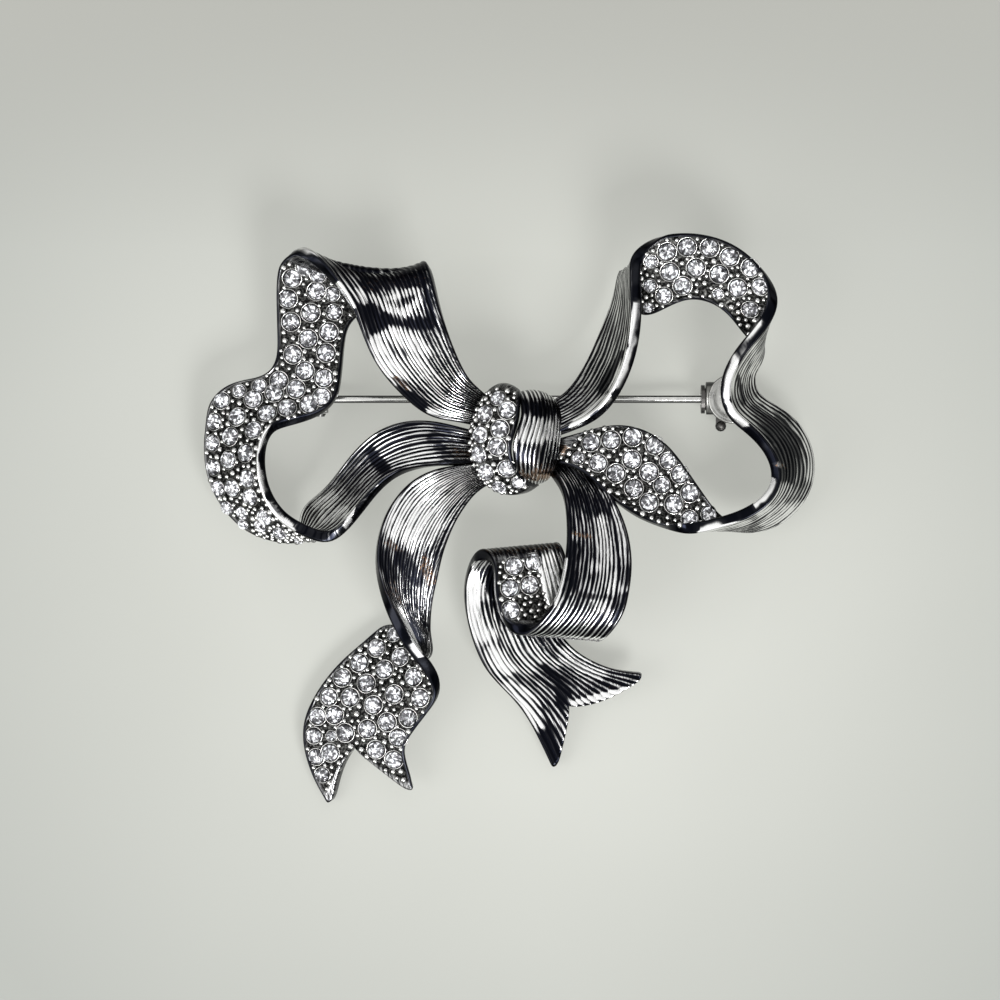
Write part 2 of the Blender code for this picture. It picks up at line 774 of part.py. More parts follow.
def make_pin(parts, helpers, material):
    """The pin: an eye round the rivet, a straight stem and a tapered point."""
    tip = CATCH_AT.x + SLEEVE_LENGTH / 2 + PIN_OVERRUN - HINGE_AT.x
    start = (RIVET_DIA / 2 + FIT_GAP + EYE_DIA / 2) / 2
    radius = PIN_DIA / 2
    profile = (
        (start, 0.0),
        (start, radius),
        (tip - PIN_TIP_LENGTH, radius),
        (tip, PIN_TIP_DIA / 2),
        (tip, 0.0),
    )
    pivot = bpy.data.objects.new("pin_swing_axis", None)
    pivot.empty_display_size = PIN_DIA
    pivot.location = HINGE_AT
    parts.objects.link(pivot)
    origin = Vector((0, 0, 0))
    eye = cylinder("pin_stem", parts, origin, (0, 1, 0), EYE_DIA / 2, EYE_WIDTH)
    stem = turned("stem_wire", helpers, profile, "X")
    hole = cylinder("eye_hole", helpers, origin, (0, 1, 0), RIVET_DIA / 2 + FIT_GAP, 2 * EYE_WIDTH)
    combine(eye, as_helper(stem), "UNION")
    combine(eye, as_helper(hole), "DIFFERENCE")
    for item in (eye, stem, hole):
        item.parent = pivot
    eye.data.materials.append(material)
    return eye


def make_sleeve(parts, helpers, material):
    """The turning sleeve of the catch: a slotted tube with two collars, a lever and its knob."""
    pivot = bpy.data.objects.new("catch_roll_axis", None)
    pivot.empty_display_size = PIN_DIA
    pivot.location = CATCH_AT
    parts.objects.link(pivot)
    origin = Vector((0, 0, 0))
    along = Vector((1, 0, 0))
    sleeve = cylinder("catch_sleeve", parts, origin, along, SLEEVE_DIA / 2, SLEEVE_LENGTH)
    added = []
    for number, side in enumerate((-1, 1), start=1):
        collar_at = along * side * (SLEEVE_LENGTH - SLEEVE_COLLAR_LENGTH) / 2
        name = f"sleeve_collar_{number}"
        added.append(cylinder(name, helpers, collar_at, along, SLEEVE_COLLAR_DIA / 2, SLEEVE_COLLAR_LENGTH))
    out = catch_direction(LEVER_ANGLE)
    lever_at = along * (across(LEVER_X) - CATCH_AT.x)
    root = lever_at + out * (SLEEVE_BORE / 2 + FIT_GAP)
    end = lever_at + out * LEVER_REACH
    half = Vector((LEVER_WIDTH / 2, 0, LEVER_THICK / 2))
    low = Vector(min(root[axis], end[axis]) - half[axis] for axis in range(3))
    high = Vector(max(root[axis], end[axis]) + half[axis] for axis in range(3))
    added.append(block("lever_arm", helpers, low, high))
    bm = bmesh.new()
    knob_at = Matrix.Translation(end)
    bmesh.ops.create_uvsphere(bm, u_segments=12, v_segments=8, radius=KNOB_DIA / 2, matrix=knob_at)
    added.append(mesh_object("lever_knob", bm, helpers))
    bore = cylinder("sleeve_bore", helpers, origin, along, SLEEVE_BORE / 2, 2 * SLEEVE_LENGTH)
    slot_low = Vector((-SLEEVE_LENGTH, -SLEEVE_SLOT / 2, -SLEEVE_COLLAR_DIA))
    slot_high = Vector((SLEEVE_LENGTH, SLEEVE_SLOT / 2, 0.0))
    slot = block("sleeve_slot", helpers, slot_low, slot_high)
    slot.rotation_euler.x = math.radians(SLOT_ANGLE - 90)
    for item in added:
        combine(sleeve, as_helper(item), "UNION")
    for item in (bore, slot):
        combine(sleeve, as_helper(item), "DIFFERENCE")
    for item in (sleeve, bore, slot, *added):
        item.parent = pivot
    sleeve.data.materials.append(material)
    return sleeve


def main():
    clear_scene()
    parts = new_collection("bow_brooch")
    soldered = new_collection("soldered_pieces")
    helpers = new_collection("helpers")
    silver = new_material(*SILVER)
    crystal = new_material(*CRYSTAL)
    steel = new_material(*STEEL)
    make_casting(parts, soldered, helpers, silver)
    for name, field in FIELDS.items():
        make_field(name, field, parts, helpers, crystal)
    make_rivet(parts, steel)
    make_pin(parts, helpers, steel)
    make_sleeve(parts, helpers, silver)


main()
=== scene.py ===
"""Looks of the bow brooch: engraved and stone-set ribbons, knot, pin, hinge and catch."""

import math
from collections import namedtuple

import bmesh
import bpy
import numpy as np
from mathutils import Matrix, Vector


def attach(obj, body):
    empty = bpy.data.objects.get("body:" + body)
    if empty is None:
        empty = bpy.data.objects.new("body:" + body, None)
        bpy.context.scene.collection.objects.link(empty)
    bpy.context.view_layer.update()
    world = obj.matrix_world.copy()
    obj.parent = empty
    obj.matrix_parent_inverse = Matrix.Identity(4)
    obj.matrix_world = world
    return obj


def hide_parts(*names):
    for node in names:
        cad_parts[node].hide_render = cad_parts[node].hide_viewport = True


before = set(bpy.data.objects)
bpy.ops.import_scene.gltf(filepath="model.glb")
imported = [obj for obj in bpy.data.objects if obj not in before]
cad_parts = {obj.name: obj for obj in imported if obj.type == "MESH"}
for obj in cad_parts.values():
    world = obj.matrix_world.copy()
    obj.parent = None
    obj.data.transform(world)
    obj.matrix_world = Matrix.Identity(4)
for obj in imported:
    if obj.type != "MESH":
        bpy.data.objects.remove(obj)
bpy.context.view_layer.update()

MM = 0.001
BOW_WIDTH = 68.0 * MM
BOW_DEPTH = 12.0 * MM
WIDTH_PARTS = 615
DEPTH_PARTS = 120
RIBBON_THICK = 1.3 * MM

# Camera: straight down on the brooch, far enough for the photo's flat perspective
VIEW_X = -1.05 * MM
VIEW_Y = 1.99 * MM
VIEW_HEIGHT = 508.0 * MM
VIEW_LENS = 162.8
SENSOR = 36.0
IMAGE_SIDE = 1000

# A row of a ribbon's table is one line across the ribbon, from its first edge to its second, and how far
# its middle arches off the straight line. Heights and arches are shares of the depth.
Row = namedtuple("Row", "x1 y1 z1 x2 y2 z2 arch", defaults=(0,))

# Left loop: out over the top, folded back, down round the outside, and back to the knot.
LEFT_LOOP = (
    (-15, 88, 56, -12, 113, 56), (-55, 97, 76, -38, 135, 72), (-80, 101, 80, -45, 146, 85),
    (-107, 122, 85, -55, 168, 90), (-135, 155, 90, -64, 193, 95), (-150, 192, 95, -70, 213, 100, 3),
    (-158, 213, 98, -75, 233, 100, 7), (-172, 232, 98, -79, 248, 95, 11),
    (-188, 252, 93, -82, 254, 80, 16), (-207, 268, 83, -88, 248, 66, 15),
    (-220, 265, 72, -105, 235, 58, 7), (-229, 246, 63, -135, 213, 56), (-230, 218, 56, -160, 198, 56),
    (-229, 183, 50, -166, 173, 58), (-230, 156, 48, -169, 140, 60), (-245, 139, 46, -174, 118, 62),
    (-267, 134, 43, -192, 103, 65), (-286, 124, 40, -218, 96, 70), (-299, 104, 36, -238, 90, 76),
    (-303, 73, 33, -247, 68, 82), (-300, 43, 31, -246, 40, 86), (-287, 15, 28, -238, 18, 88),
    (-265, -8, 25, -226, 2, 88), (-239, -18, 23, -212, -8, 87), (-213, -21, 22, -195, -16, 86),
    (-208, -7, 23, -180, -20, 84), (-207, 9, 26, -165, -11, 82), (-186, 25, 32, -149, 8, 80),
    (-170, 46, 40, -132, 29, 78), (-152, 70, 52, -111, 45, 78), (-127, 91, 68, -85, 51, 80),
    (-90, 99, 78, -60, 53, 82), (-50, 91, 68, -35, 55, 64), (-15, 82, 56, -10, 58, 56),
)

# Right loop: out and up to the top, folded over, round the shoulder, under and back to the knot.
RIGHT_LOOP = (
    (35, 78, 82, 30, 113, 75), (65, 90, 85, 52, 120, 60), (90, 103, 88, 70, 139, 45),
    (110, 130, 92, 85, 164, 35), (123, 166, 96, 98, 194, 30), (127, 203, 98, 109, 220, 28),
    (126, 234, 98, 113, 241, 29), (125, 253, 97, 118, 250, 34), (131, 267, 95, 126, 212, 46),
    (143, 277, 93, 140, 203, 60), (161, 282, 92, 157, 211, 70), (189, 282, 90, 178, 220, 73),
    (218, 274, 90, 200, 217, 73), (242, 258, 92, 217, 207, 68), (258, 238, 94, 230, 193, 57),
    (264, 220, 96, 240, 183, 46), (258, 202, 96, 250, 177, 36), (246, 185, 95, 253, 167, 30),
    (231, 168, 93, 250, 156, 28), (218, 146, 91, 244, 145, 30), (214, 123, 90, 245, 131, 32),
    (221, 102, 90, 253, 119, 32), (240, 87, 90, 270, 109, 30), (258, 67, 90, 291, 93, 28),
    (266, 45, 90, 303, 69, 27), (262, 27, 90, 305, 42, 27), (248, 12, 89, 294, 16, 26),
    (229, 2, 86, 270, -5, 27), (207, -5, 81, 241, -11, 32), (182, -11, 75, 220, -4, 44),
    (157, -10, 77, 205, 9, 57), (134, -2, 82, 194, 24, 64), (114, 10, 81, 183, 40, 68),
    (96, 24, 80, 170, 59, 72), (81, 40, 80, 150, 81, 76), (66, 50, 76, 118, 94, 78),
    (50, 54, 69, 84, 88, 68), (30, 56, 64, 52, 80, 64),
)

# Left tail: down from the knot, turned over edge by edge, and out to a notched end.
LEFT_TAIL = (
    (-10, 60, 48, 8, 43, 44), (-49, 53, 68, -29, 31, 62), (-75, 49, 80, -48, 7, 80),
    (-99, 37, 82, -59, -15, 80), (-118, 15, 84, -67, -37, 80), (-129, -9, 84, -72, -61, 75),
    (-134, -37, 83, -77, -82, 68), (-131, -62, 82, -79, -102, 58), (-123, -85, 80, -79, -118, 44),
    (-114, -103, 79, -78, -135, 32), (-103, -122, 77, -84, -140, 21), (-91, -138, 73, -99, -131, 15),
    (-80, -152, 68, -114, -111, 12), (-73, -166, 62, -128, -117, 12), (-73, -180, 57, -144, -131, 14),
    (-82, -194, 52, -167, -150, 15), (-93, -208, 47, -188, -176, 15), (-101, -219, 43, -202, -204, 14),
    (-107, -230, 38, -203, -227, 13), (-105, -247, 32, -198, -250, 11), (-94, -281, 22, -179, -297, 8),
)

# Right tail: down from the knot, rolled under, up behind itself, folded again and out to a notched end.
RIGHT_TAIL = (
    (35, 53, 60, 80, 53, 56), (49, 35, 76, 92, 35, 68), (55, 17, 86, 105, 17, 84),
    (57, -4, 90, 116, -7, 88), (57, -26, 93, 121, -30, 90), (55, -44, 95, 122, -52, 92),
    (52, -61, 97, 119, -74, 93), (46, -80, 98, 115, -92, 92), (36, -95, 97, 106, -107, 88),
    (23, -108, 93, 96, -117, 79), (8, -112, 86, 89, -119, 68), (-4, -106, 80, 82, -112, 59),
    (-12, -90, 76, 75, -93, 56), (-15, -70, 74, 65, -67, 54), (-15, -52, 72, 58, -47, 52),
    (-20, -40, 68, 54, -34, 48), (-29, -36, 58, 50, -29, 40), (-37, -42, 46, 46, -34, 32),
    (-43, -55, 38, 41, -48, 26), (-46, -74, 34, 38, -67, 23), (-44, -97, 31, 40, -87, 22),
    (-38, -122, 28, 47, -107, 22), (-27, -149, 25, 58, -126, 23), (-12, -167, 22, 75, -140, 25),
    (6, -185, 19, 94, -149, 28), (23, -209, 15, 111, -154, 31), (47, -260, 9, 141, -157, 34),
)

# The knot is two short bands over the crossing of the ribbons: a grooved wrap and a stone-set dome.
KNOT_WRAP = (
    (8, 117, 64, 38, 112, 50, 5), (9, 121, 90, 44, 114, 70, 7), (11, 113, 105, 47, 106, 78, 7),
    (12, 101, 112, 48, 92, 81, 7), (7, 87, 113, 47, 77, 81, 7), (3, 73, 111, 45, 64, 79, 7),
    (4, 59, 105, 42, 53, 76, 7), (9, 47, 92, 38, 45, 70, 6), (16, 42, 72, 36, 43, 56, 4),
)
KNOT_DOME = (
    (-16, 117, 58, 7, 120, 62, 9), (-21, 117, 68, 9, 123, 90, 12), (-30, 105, 67, 11, 112, 105, 13),
    (-35, 88, 66, 9, 94, 111, 13), (-36, 69, 66, 2, 75, 110, 13), (-31, 53, 64, 3, 58, 103, 13),
    (-24, 41, 62, 11, 45, 92, 12), (-15, 36, 58, 20, 38, 76, 10), (-3, 36, 52, 27, 37, 60, 7),
)

# A ribbon: its table, the face that is engraved (1 is the face that its rows turn to), its number of
# engraved lines, where its notch is (row and share across), and the row from which it has another number
# of lines, with that number.
RIBBON_PARTS = "rows engraved lines notch_row notch_share late_row late_lines"
Ribbon = namedtuple("Ribbon", RIBBON_PARTS, defaults=(None, 0.5, 99, 0))
RIBBONS = {
    "left_loop": Ribbon(LEFT_LOOP, -1, 20, None, 0.5, 17, 12),
    "right_loop": Ribbon(RIGHT_LOOP, 1, 11),
    "left_tail": Ribbon(LEFT_TAIL, 1, 21, 18),
    "right_tail": Ribbon(RIGHT_TAIL, 1, 16, 25, 0.4, 12, 19),
    "knot_wrap": Ribbon(KNOT_WRAP, 1, 11),
    "knot_dome": Ribbon(KNOT_DOME, -1, 10),
}
NOTCH_POWER = 0.7
NOTCH_LEAD = 2
TIP_ROUND = 1.5 * MM

# A field of stones: its ribbon, the rows where it starts and ends and the share across where it stops.
Field = namedtuple("Field", "ribbon start end share_to", defaults=(1.0,))
FIELDS = {
    "left_loop_pave": Field("left_loop", 10.3, 24.4),
    "right_loop_top_pave": Field("right_loop", 8.1, 15.0),
    "right_loop_lower_pave": Field("right_loop", 29.0, 36.2),
    "knot_pave": Field("knot_dome", 1.1, 6.9),
    "left_tail_pave": Field("left_tail", 12.3, 19.8),
    "curl_pave": Field("right_tail", 11.2, 14.6, 0.62),
}

# Middle of each stone in the view, in image units, and its size beside a whole stone
STONES = {
    "left_loop_pave": (
        (305, 268), (292, 278), (318, 275, 0.9), (288, 298), (316, 292), (332, 294, 0.8), (334, 313, 0.85),
        (311, 312), (291, 322), (329, 331), (308, 338), (293, 354), (326, 354), (305, 370), (324, 378),
        (279, 380), (296, 389), (322, 396), (274, 393), (309, 404), (287, 407), (267, 413),
        (259, 386, 0.8), (253, 399), (239, 390, 0.75), (237, 416), (221, 401, 0.92), (214, 421, 0.92),
        (253, 430), (230, 436), (212, 444, 0.92), (245, 453), (228, 460), (213, 467, 0.92), (247, 478),
        (232, 488), (218, 489, 0.9), (250, 498), (227, 508, 0.85), (242, 513, 0.8), (264, 517),
        (243, 525, 0.7), (260, 527, 0.8), (280, 534, 0.9), (299, 541, 0.6),
    ),
    "right_loop_top_pave": (
        (667, 252), (687, 247), (710, 248), (730, 257), (750, 268), (760, 287, 0.95), (651, 262, 0.75),
        (670, 272), (696, 268), (719, 274), (738, 288), (650, 286, 0.75), (664, 296, 0.9), (683, 286),
        (718, 294, 0.6), (750, 310, 0.95), (648, 308, 0.6),
    ),
    "right_loop_lower_pave": (
        (591, 442), (611, 440), (633, 437), (655, 445), (668, 461, 0.9), (680, 474), (690, 493),
        (709, 514, 0.9), (598, 463, 0.95), (632, 460), (616, 473), (649, 472), (634, 488), (662, 485, 0.9),
        (649, 502), (674, 504), (690, 519, 0.95), (578, 458, 0.7),
    ),
    "knot_pave": (
        (498, 398, 0.85), (485, 414), (507, 410), (480, 435), (500, 429), (479, 455), (497, 447),
        (486, 472), (507, 469), (499, 487, 0.85), (519, 482, 0.85),
    ),
    "left_tail_pave": (
        (394, 634, 0.85), (376, 648), (359, 663), (342, 678), (329, 697, 0.95), (317, 716, 0.95),
        (400, 657), (384, 669), (366, 684), (350, 698), (334, 715), (413, 677), (394, 694), (373, 705),
        (420, 698), (387, 722), (408, 718), (367, 729), (345, 733), (398, 738), (314, 736, 0.9),
        (330, 753), (316, 757, 0.9), (376, 750), (394, 760), (322, 776, 0.85), (331, 736, 0.6),
    ),
    "curl_pave": (
        (514, 566), (534, 562), (510, 588), (530, 585), (511, 610),
    ),
}
STONE_DIA = 1.80 * MM
STONE_RISE = 0.58 * MM
SEAT_DROP = 0.10 * MM

# The ring round a stone: its radius and the radius of its wire, beside the stone's radius
SEAT_RADIUS = 1.2
SEAT_WIRE = 0.055

# How much a stone is set upright, and how much it tilts at random
UPRIGHT = 0.8
STONE_TILT = 0.035

# Points of a cut stone below its girdle, how far they drift together and one by one, and how bright the
# painted glints of the facets at the rim are beside the others
LOW_POINTS = 9
FOIL_DRIFT = 0.16
POINT_DRIFT = 0.07
RIM_GLOW = 0.62

# Grains of metal between the stones: how deep they sit, their least radius and how much larger some are
# in millimetres, and the room they leave to a stone and to each other
GRAIN_DROP = 0.16 * MM
GRAIN_LEAST = 0.24
GRAIN_SPREAD = 0.17
STONE_ROOM = 0.08 * MM
GRAIN_ROOM = 0.11 * MM

# Steps each way in the nets that stones and grains are placed on, and the share left free at the edges
STONE_NET = 160
GRAIN_NET = 110
NET_EDGE = 0.02

# Where the stone-set face is wider than the middle surface: ribbon, rows, and reach past both edges in
# millimetres. It fades in and out over so many rows outside and inside the first and the last.
FLARE_OUTSIDE = 0.8
FLARE_INSIDE = 0.4
FLARES = (
    ("left_loop", 10.5, 23.5, 0.45, 0.0),
    ("left_loop", 15.2, 17.8, 0.45, 0.0),
    ("left_tail", 12.5, 19.5, 0.2, 0.6),
    ("right_loop", 9.5, 14.5, 0.3, 0.0),
)

RIM_TOP = 0.32 * MM
RIM_FOOT = 0.42 * MM
BED_DEPTH = 0.44 * MM
BED_GRAIN = 0.05 * MM
BED_WALL = 0.15 * MM
GROOVE_DEPTH = 0.075 * MM
GROOVE_POWER = 1.15
FINE_DEPTH = 0.012 * MM
GROOVES_FROM = 0.2 * MM
GROOVES_FULL = 0.5 * MM
EDGE_ROUND = 0.3 * MM
STATION_STEP = 0.3 * MM
COLUMNS_PER_LINE = 5
CURL_LINES = 17
CURL_LINES_FROM = 0.63
CURL_LINES_ROW = 14.7
CURL_LINE_DARK = 0.4
ENGRAVED_EDGE = (0.0, 0.03, 0.09, 0.18, 0.3)
PLAIN_EDGE = (0.0, 0.03, 0.09, 0.18, 0.32, 0.42)
PLAIN_COLUMNS = 64
NOISE_CELLS = 128


def across(parts):
    """Length of so many parts of the bow's width."""
    return parts * BOW_WIDTH / WIDTH_PARTS


def up(parts):
    """Height of so many parts of the bow's depth."""
    return parts * BOW_DEPTH / DEPTH_PARTS


def unit(vectors):
    """Vectors scaled to length 1."""
    return vectors / np.maximum(np.linalg.norm(vectors, axis=-1, keepdims=True), 1e-12)


def smooth_step(values, low, high):
    """0 below low, 1 above high and a soft step between them."""
    share = np.clip((values - low) / (high - low), 0, 1)
    return share * share * (3 - 2 * share)


def soften(values, width):
    """Smooth a list of values with a bell curve, and keep its two ends."""
    reach = int(width * 3)
    before = 2 * values[0] - values[1 : reach + 1][::-1]
    after = 2 * values[-1] - values[-reach - 1 : -1][::-1]
    padded = np.concatenate([before, values, after])
    bell = np.exp(-0.5 * (np.arange(-reach, reach + 1) / width) ** 2)
    bell /= bell.sum()
    if values.ndim == 1:
        return np.convolve(padded, bell, "valid")
    return np.stack([np.convolve(column, bell, "valid") for column in padded.T], -1)


def value_noise(x, y, seed):
    """Soft random field from -1 to 1 with cells of size 1."""
    table = np.random.default_rng(seed).uniform(-1, 1, (NOISE_CELLS, NOISE_CELLS))
    left = np.floor(x).astype(int)
    low = np.floor(y).astype(int)
    across_cell = smooth_step(x - left, 0, 1)
    up_cell = smooth_step(y - low, 0, 1)
    rows = [left % NOISE_CELLS, (left + 1) % NOISE_CELLS]
    columns = [low % NOISE_CELLS, (low + 1) % NOISE_CELLS]
    bottom = table[rows[0], columns[0]] * (1 - across_cell) + table[rows[1], columns[0]] * across_cell
    top = table[rows[0], columns[1]] * (1 - across_cell) + table[rows[1], columns[1]] * across_cell
    return bottom * (1 - up_cell) + top * up_cell


class Strip:
    """The middle surface of a ribbon, read at places along it and shares across it."""

    SAMPLES = 24

    def __init__(self, ribbon):
        rows = [Row(*values) for values in ribbon.rows]
        self.ribbon = ribbon
        self.length = len(rows) - 1
        first = np.array([(across(r.x1), across(r.y1), up(r.z1)) for r in rows])
        second = np.array([(across(r.x2), across(r.y2), up(r.z2)) for r in rows])
        first_step = np.diff(first, axis=0)
        second_step = np.diff(second, axis=0)
        steps = [
            np.linalg.norm((first_step + second_step) / 2, axis=1),
            np.linalg.norm(first_step, axis=1) / 2,
            np.linalg.norm(second_step, axis=1) / 2,
        ]
        self.knots = np.concatenate([[0], np.cumsum(np.sqrt(np.max(steps, axis=0)))])
        self.places = np.linspace(0, self.length, self.length * self.SAMPLES + 1)
        width = 0.4 * self.SAMPLES
        self.first = soften(self.curve(first), width)
        self.second = soften(self.curve(second), width)
        arches = np.array([up(r.arch) for r in rows])
        self.arches = soften(np.interp(self.places, np.arange(len(rows)), arches), width)
        middle = (self.first + self.second) / 2
        gaps = np.linalg.norm(np.diff(middle, axis=0), axis=1)
        wide = np.maximum(
            np.linalg.norm(np.diff(self.first, axis=0), axis=1),
            np.linalg.norm(np.diff(self.second, axis=0), axis=1),
        )
        self.walk = np.concatenate([[0], np.cumsum(np.maximum(gaps, 0.6 * wide))])

    def curve(self, points):
        """Smooth curve through the points, at every place."""
        index = np.minimum(self.places.astype(int), self.length - 1)
        before = np.maximum(np.arange(len(points)) - 1, 0)
        after = np.minimum(np.arange(len(points)) + 1, self.length)
        slopes = (points[after] - points[before]) / (self.knots[after] - self.knots[before])[:, None]
        span = (self.knots[index + 1] - self.knots[index])[:, None]
        share = (self.places - index)[:, None]
        squared = share * share
        cubed = squared * share
        return (
            points[index] * (2 * cubed - 3 * squared + 1)
            + slopes[index] * span * (cubed - 2 * squared + share)
            + points[index + 1] * (3 * squared - 2 * cubed)
            + slopes[index + 1] * span * (cubed - squared)
        )

    def read(self, table, place):
        """Values of one of the strip's own tables at places."""
        if table.ndim == 1:
            return np.interp(place, self.places, table)
        return np.stack([np.interp(place, self.places, table[:, k]) for k in range(3)], -1)

    def lines_at(self, place):
        """Number of engraved lines across the ribbon."""
        return np.where(place < self.ribbon.late_row, self.ribbon.lines, self.ribbon.late_lines)

    def width(self, place):
        """Straight width of the ribbon."""
        return np.linalg.norm(self.read(self.second, place) - self.read(self.first, place), axis=-1)

    def walked(self, place):
        """Distance along the ribbon, in millimetres."""
        return self.read(self.walk, place) / MM

    def edge_gap(self, place, share):
        """Distance to the nearer edge."""
        return np.minimum(share, 1 - share) * self.width(place)

    def flat(self, place, share):
        """Point on the straight line across the ribbon."""
        first = self.read(self.first, place)
        return first + (self.read(self.second, place) - first) * share[..., None]

    def point(self, place, share):
        """Point on the arched surface."""
        small = 0.08
        over = self.read(self.second, place) - self.read(self.first, place)
        along = self.flat(place + small, share) - self.flat(place - small, share)
        rise = self.read(self.arches, place) * 4 * share * (1 - share)
        return self.flat(place, share) + unit(np.cross(along, over)) * rise[..., None]

    def normal(self, place, share):
        """Unit normal of the arched surface."""
        small = 0.08
        thin = 0.02
        along = self.point(place + small, share) - self.point(place - small, share)
        over = self.point(place, share + thin) - self.point(place, share - thin)
        return unit(np.cross(along, over))

    def lifted(self, place, share, height):
        """Point at a height over the arched surface."""
        return self.point(place, share) + self.normal(place, share) * np.asarray(height)[..., None]

    def spread(self, place, share):
        """Shares across the stone-set face, which reaches a little past the middle surface's edges."""
        before = np.zeros_like(place)
        after = np.zeros_like(place)
        for ribbon, first_row, last_row, low, high in FLARES:
            if RIBBONS[ribbon] is self.ribbon:
                fade = smooth_step(place, first_row - FLARE_OUTSIDE, first_row + FLARE_INSIDE)
                fade = fade * (1 - smooth_step(place, last_row - FLARE_INSIDE, last_row + FLARE_OUTSIDE))
                before = before + fade * low * MM
                after = after + fade * high * MM
        width = self.width(place)
        return share + (before * (share - 1) + after * share) / width

    def end_at(self, share, end):
        """Last place of the ribbon at a share across it: a notched end is a V."""
        notch = self.ribbon.notch_row
        if notch is None or end <= notch:
            return np.full_like(share, end)
        middle = self.ribbon.notch_share
        reach = np.where(share < middle, middle, 1 - middle)
        tip = notch + (end - notch) * (np.abs(share - middle) / reach) ** NOTCH_POWER
        last = np.full_like(share, end)
        row = np.linalg.norm(self.flat(last, share) - self.flat(last - 0.1, share), axis=-1) / 0.1
        corner = rolled(self.edge_gap(last, share), TIP_ROUND)
        return tip - corner / row

    def stretched(self, place, share):
        """Places of stations, moved so that the last one follows the notched end."""
        notch = self.ribbon.notch_row
        if notch is None:
            return place
        split = notch - NOTCH_LEAD
        moved = split + (place - split) * (self.end_at(share, self.length) - split) / (self.length - split)
        return np.where(place <= split, place, moved)


STRIPS = {name: Strip(ribbon) for name, ribbon in RIBBONS.items()}


def add_object(name, data):
    """An object with its data, linked to the scene."""
    item = bpy.data.objects.new(name, data)
    bpy.context.scene.collection.objects.link(item)
    return item


def mesh_piece(name, points, faces, body="bow", smooth=True):
    """Make an object of points and faces that rides on a body."""
    mesh = bpy.data.meshes.new(name)
    mesh.from_pydata([tuple(point) for point in points], [], [tuple(face) for face in faces])
    mesh.validate()
    item = add_object(name, mesh)
    if smooth:
        mesh.shade_smooth()
    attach(item, body)
    return item


def ring_shares(strip, place, edge_steps, count):
    """Shares across for columns: a few close to each edge, and the rest spread evenly."""
    edge = np.array(edge_steps) * MM
    width = strip.width(place)[:, None]
    left = edge[None, :] / width
    inner = left[:, -1:]
    spread = np.linspace(0, 1, count + 2)[1:-1]
    middle = inner + spread[None, :] * (1 - 2 * inner)
    return np.concatenate([left, middle, 1 - left[:, ::-1]], axis=1)


def rolled(depth_in, radius):
    """How far the surface drops near an edge that is rounded with a radius."""
    inside = np.clip(radius - depth_in, 0, radius)
    return radius - np.sqrt(np.maximum(radius * radius - inside * inside, 0))


def line_number(strip, place, share, seed, lines):
    """Which engraved line a place is on: grooves are at the whole numbers."""
    walk = strip.walked(place)
    wobble = 0.30 * value_noise(walk / 5.0, share * lines / 4.0, seed)
    wobble += 0.08 * value_noise(walk / 1.6, share * lines / 1.5, seed + 1)
    wobble += 0.25 * value_noise(walk / 9.0, share * lines / 1.1, seed + 4)
    return share * lines + wobble


def engraving(strip, place, share, seed, lines):
    """Height and darkness of the engraved lines."""
    walk = strip.walked(place)
    line = line_number(strip, place, share, seed, lines)
    valley = (0.5 + 0.5 * np.cos(2 * math.pi * line)) ** GROOVE_POWER
    strength = 0.75 + 0.3 * value_noise(walk / 2.2, np.round(line) * 5.37, seed + 2)
    fine = value_noise(walk / 1.1, share * lines * 3.1, seed + 3)
    fade = smooth_step(strip.edge_gap(place, share), GROOVES_FROM, GROOVES_FULL)
    height = -(GROOVE_DEPTH * valley * strength + FINE_DEPTH * (fine + 1)) * fade
    return height, valley * strength * fade


def field_mask(strip, field, place, share):
    """1 in the bed of a field of stones, 0 on its rim and outside it."""
    width = strip.width(place)
    inside = np.minimum(share, field.share_to - share) * width
    row = np.linalg.norm(strip.flat(place + 0.1, share) - strip.flat(place - 0.1, share), axis=-1) / 0.2
    end = strip.end_at(share, field.end)
    mask = smooth_step(inside, RIM_TOP, RIM_FOOT)
    mask = mask * smooth_step((place - field.start) * row, 0, BED_WALL)
    return mask * smooth_step((end - place) * row, 0, BED_WALL)


def ribbon_side(name, side, engraved, place_line, seed):
    """Points, darkness and bed mask of one face of a ribbon, with their places and shares across."""
    strip = STRIPS[name]
    if engraved:
        share = ring_shares(strip, place_line, ENGRAVED_EDGE, strip.ribbon.lines * COLUMNS_PER_LINE)
    else:
        share = ring_shares(strip, place_line, PLAIN_EDGE, PLAIN_COLUMNS)
    place = strip.stretched(np.repeat(place_line[:, None], share.shape[1], axis=1), share)
    height = RIBBON_THICK / 2 - rolled(strip.edge_gap(place, share), EDGE_ROUND)
    dark = np.zeros_like(height)
    bed = np.zeros_like(height)
    if engraved:
        grooves, dark = engraving(strip, place, share, seed, strip.lines_at(place))
        height = height + grooves
    else:
        walk = strip.walked(place)
        for field in FIELDS.values():
            if field.ribbon == name:
                bed = np.maximum(bed, field_mask(strip, field, place, share))
        grain = value_noise(walk / 0.22, share * strip.width(place) / MM / 0.22, seed + 7)
        height = height - bed * (BED_DEPTH + BED_GRAIN * grain)
        if name == "right_tail":
            grooves, lines_dark = engraving(strip, place, share, seed + 11, CURL_LINES)
            beside = smooth_step(share, CURL_LINES_FROM, CURL_LINES_FROM + 0.03)
            beyond = smooth_step(place, CURL_LINES_ROW, CURL_LINES_ROW + 0.3)
            bare = np.clip(beside + beyond, 0, 1)
            height = height + grooves * bare
            dark = CURL_LINE_DARK * lines_dark * bare
    where = share if engraved else strip.spread(place, share)
    return strip.lifted(place, where, side * height), dark, bed, place, share


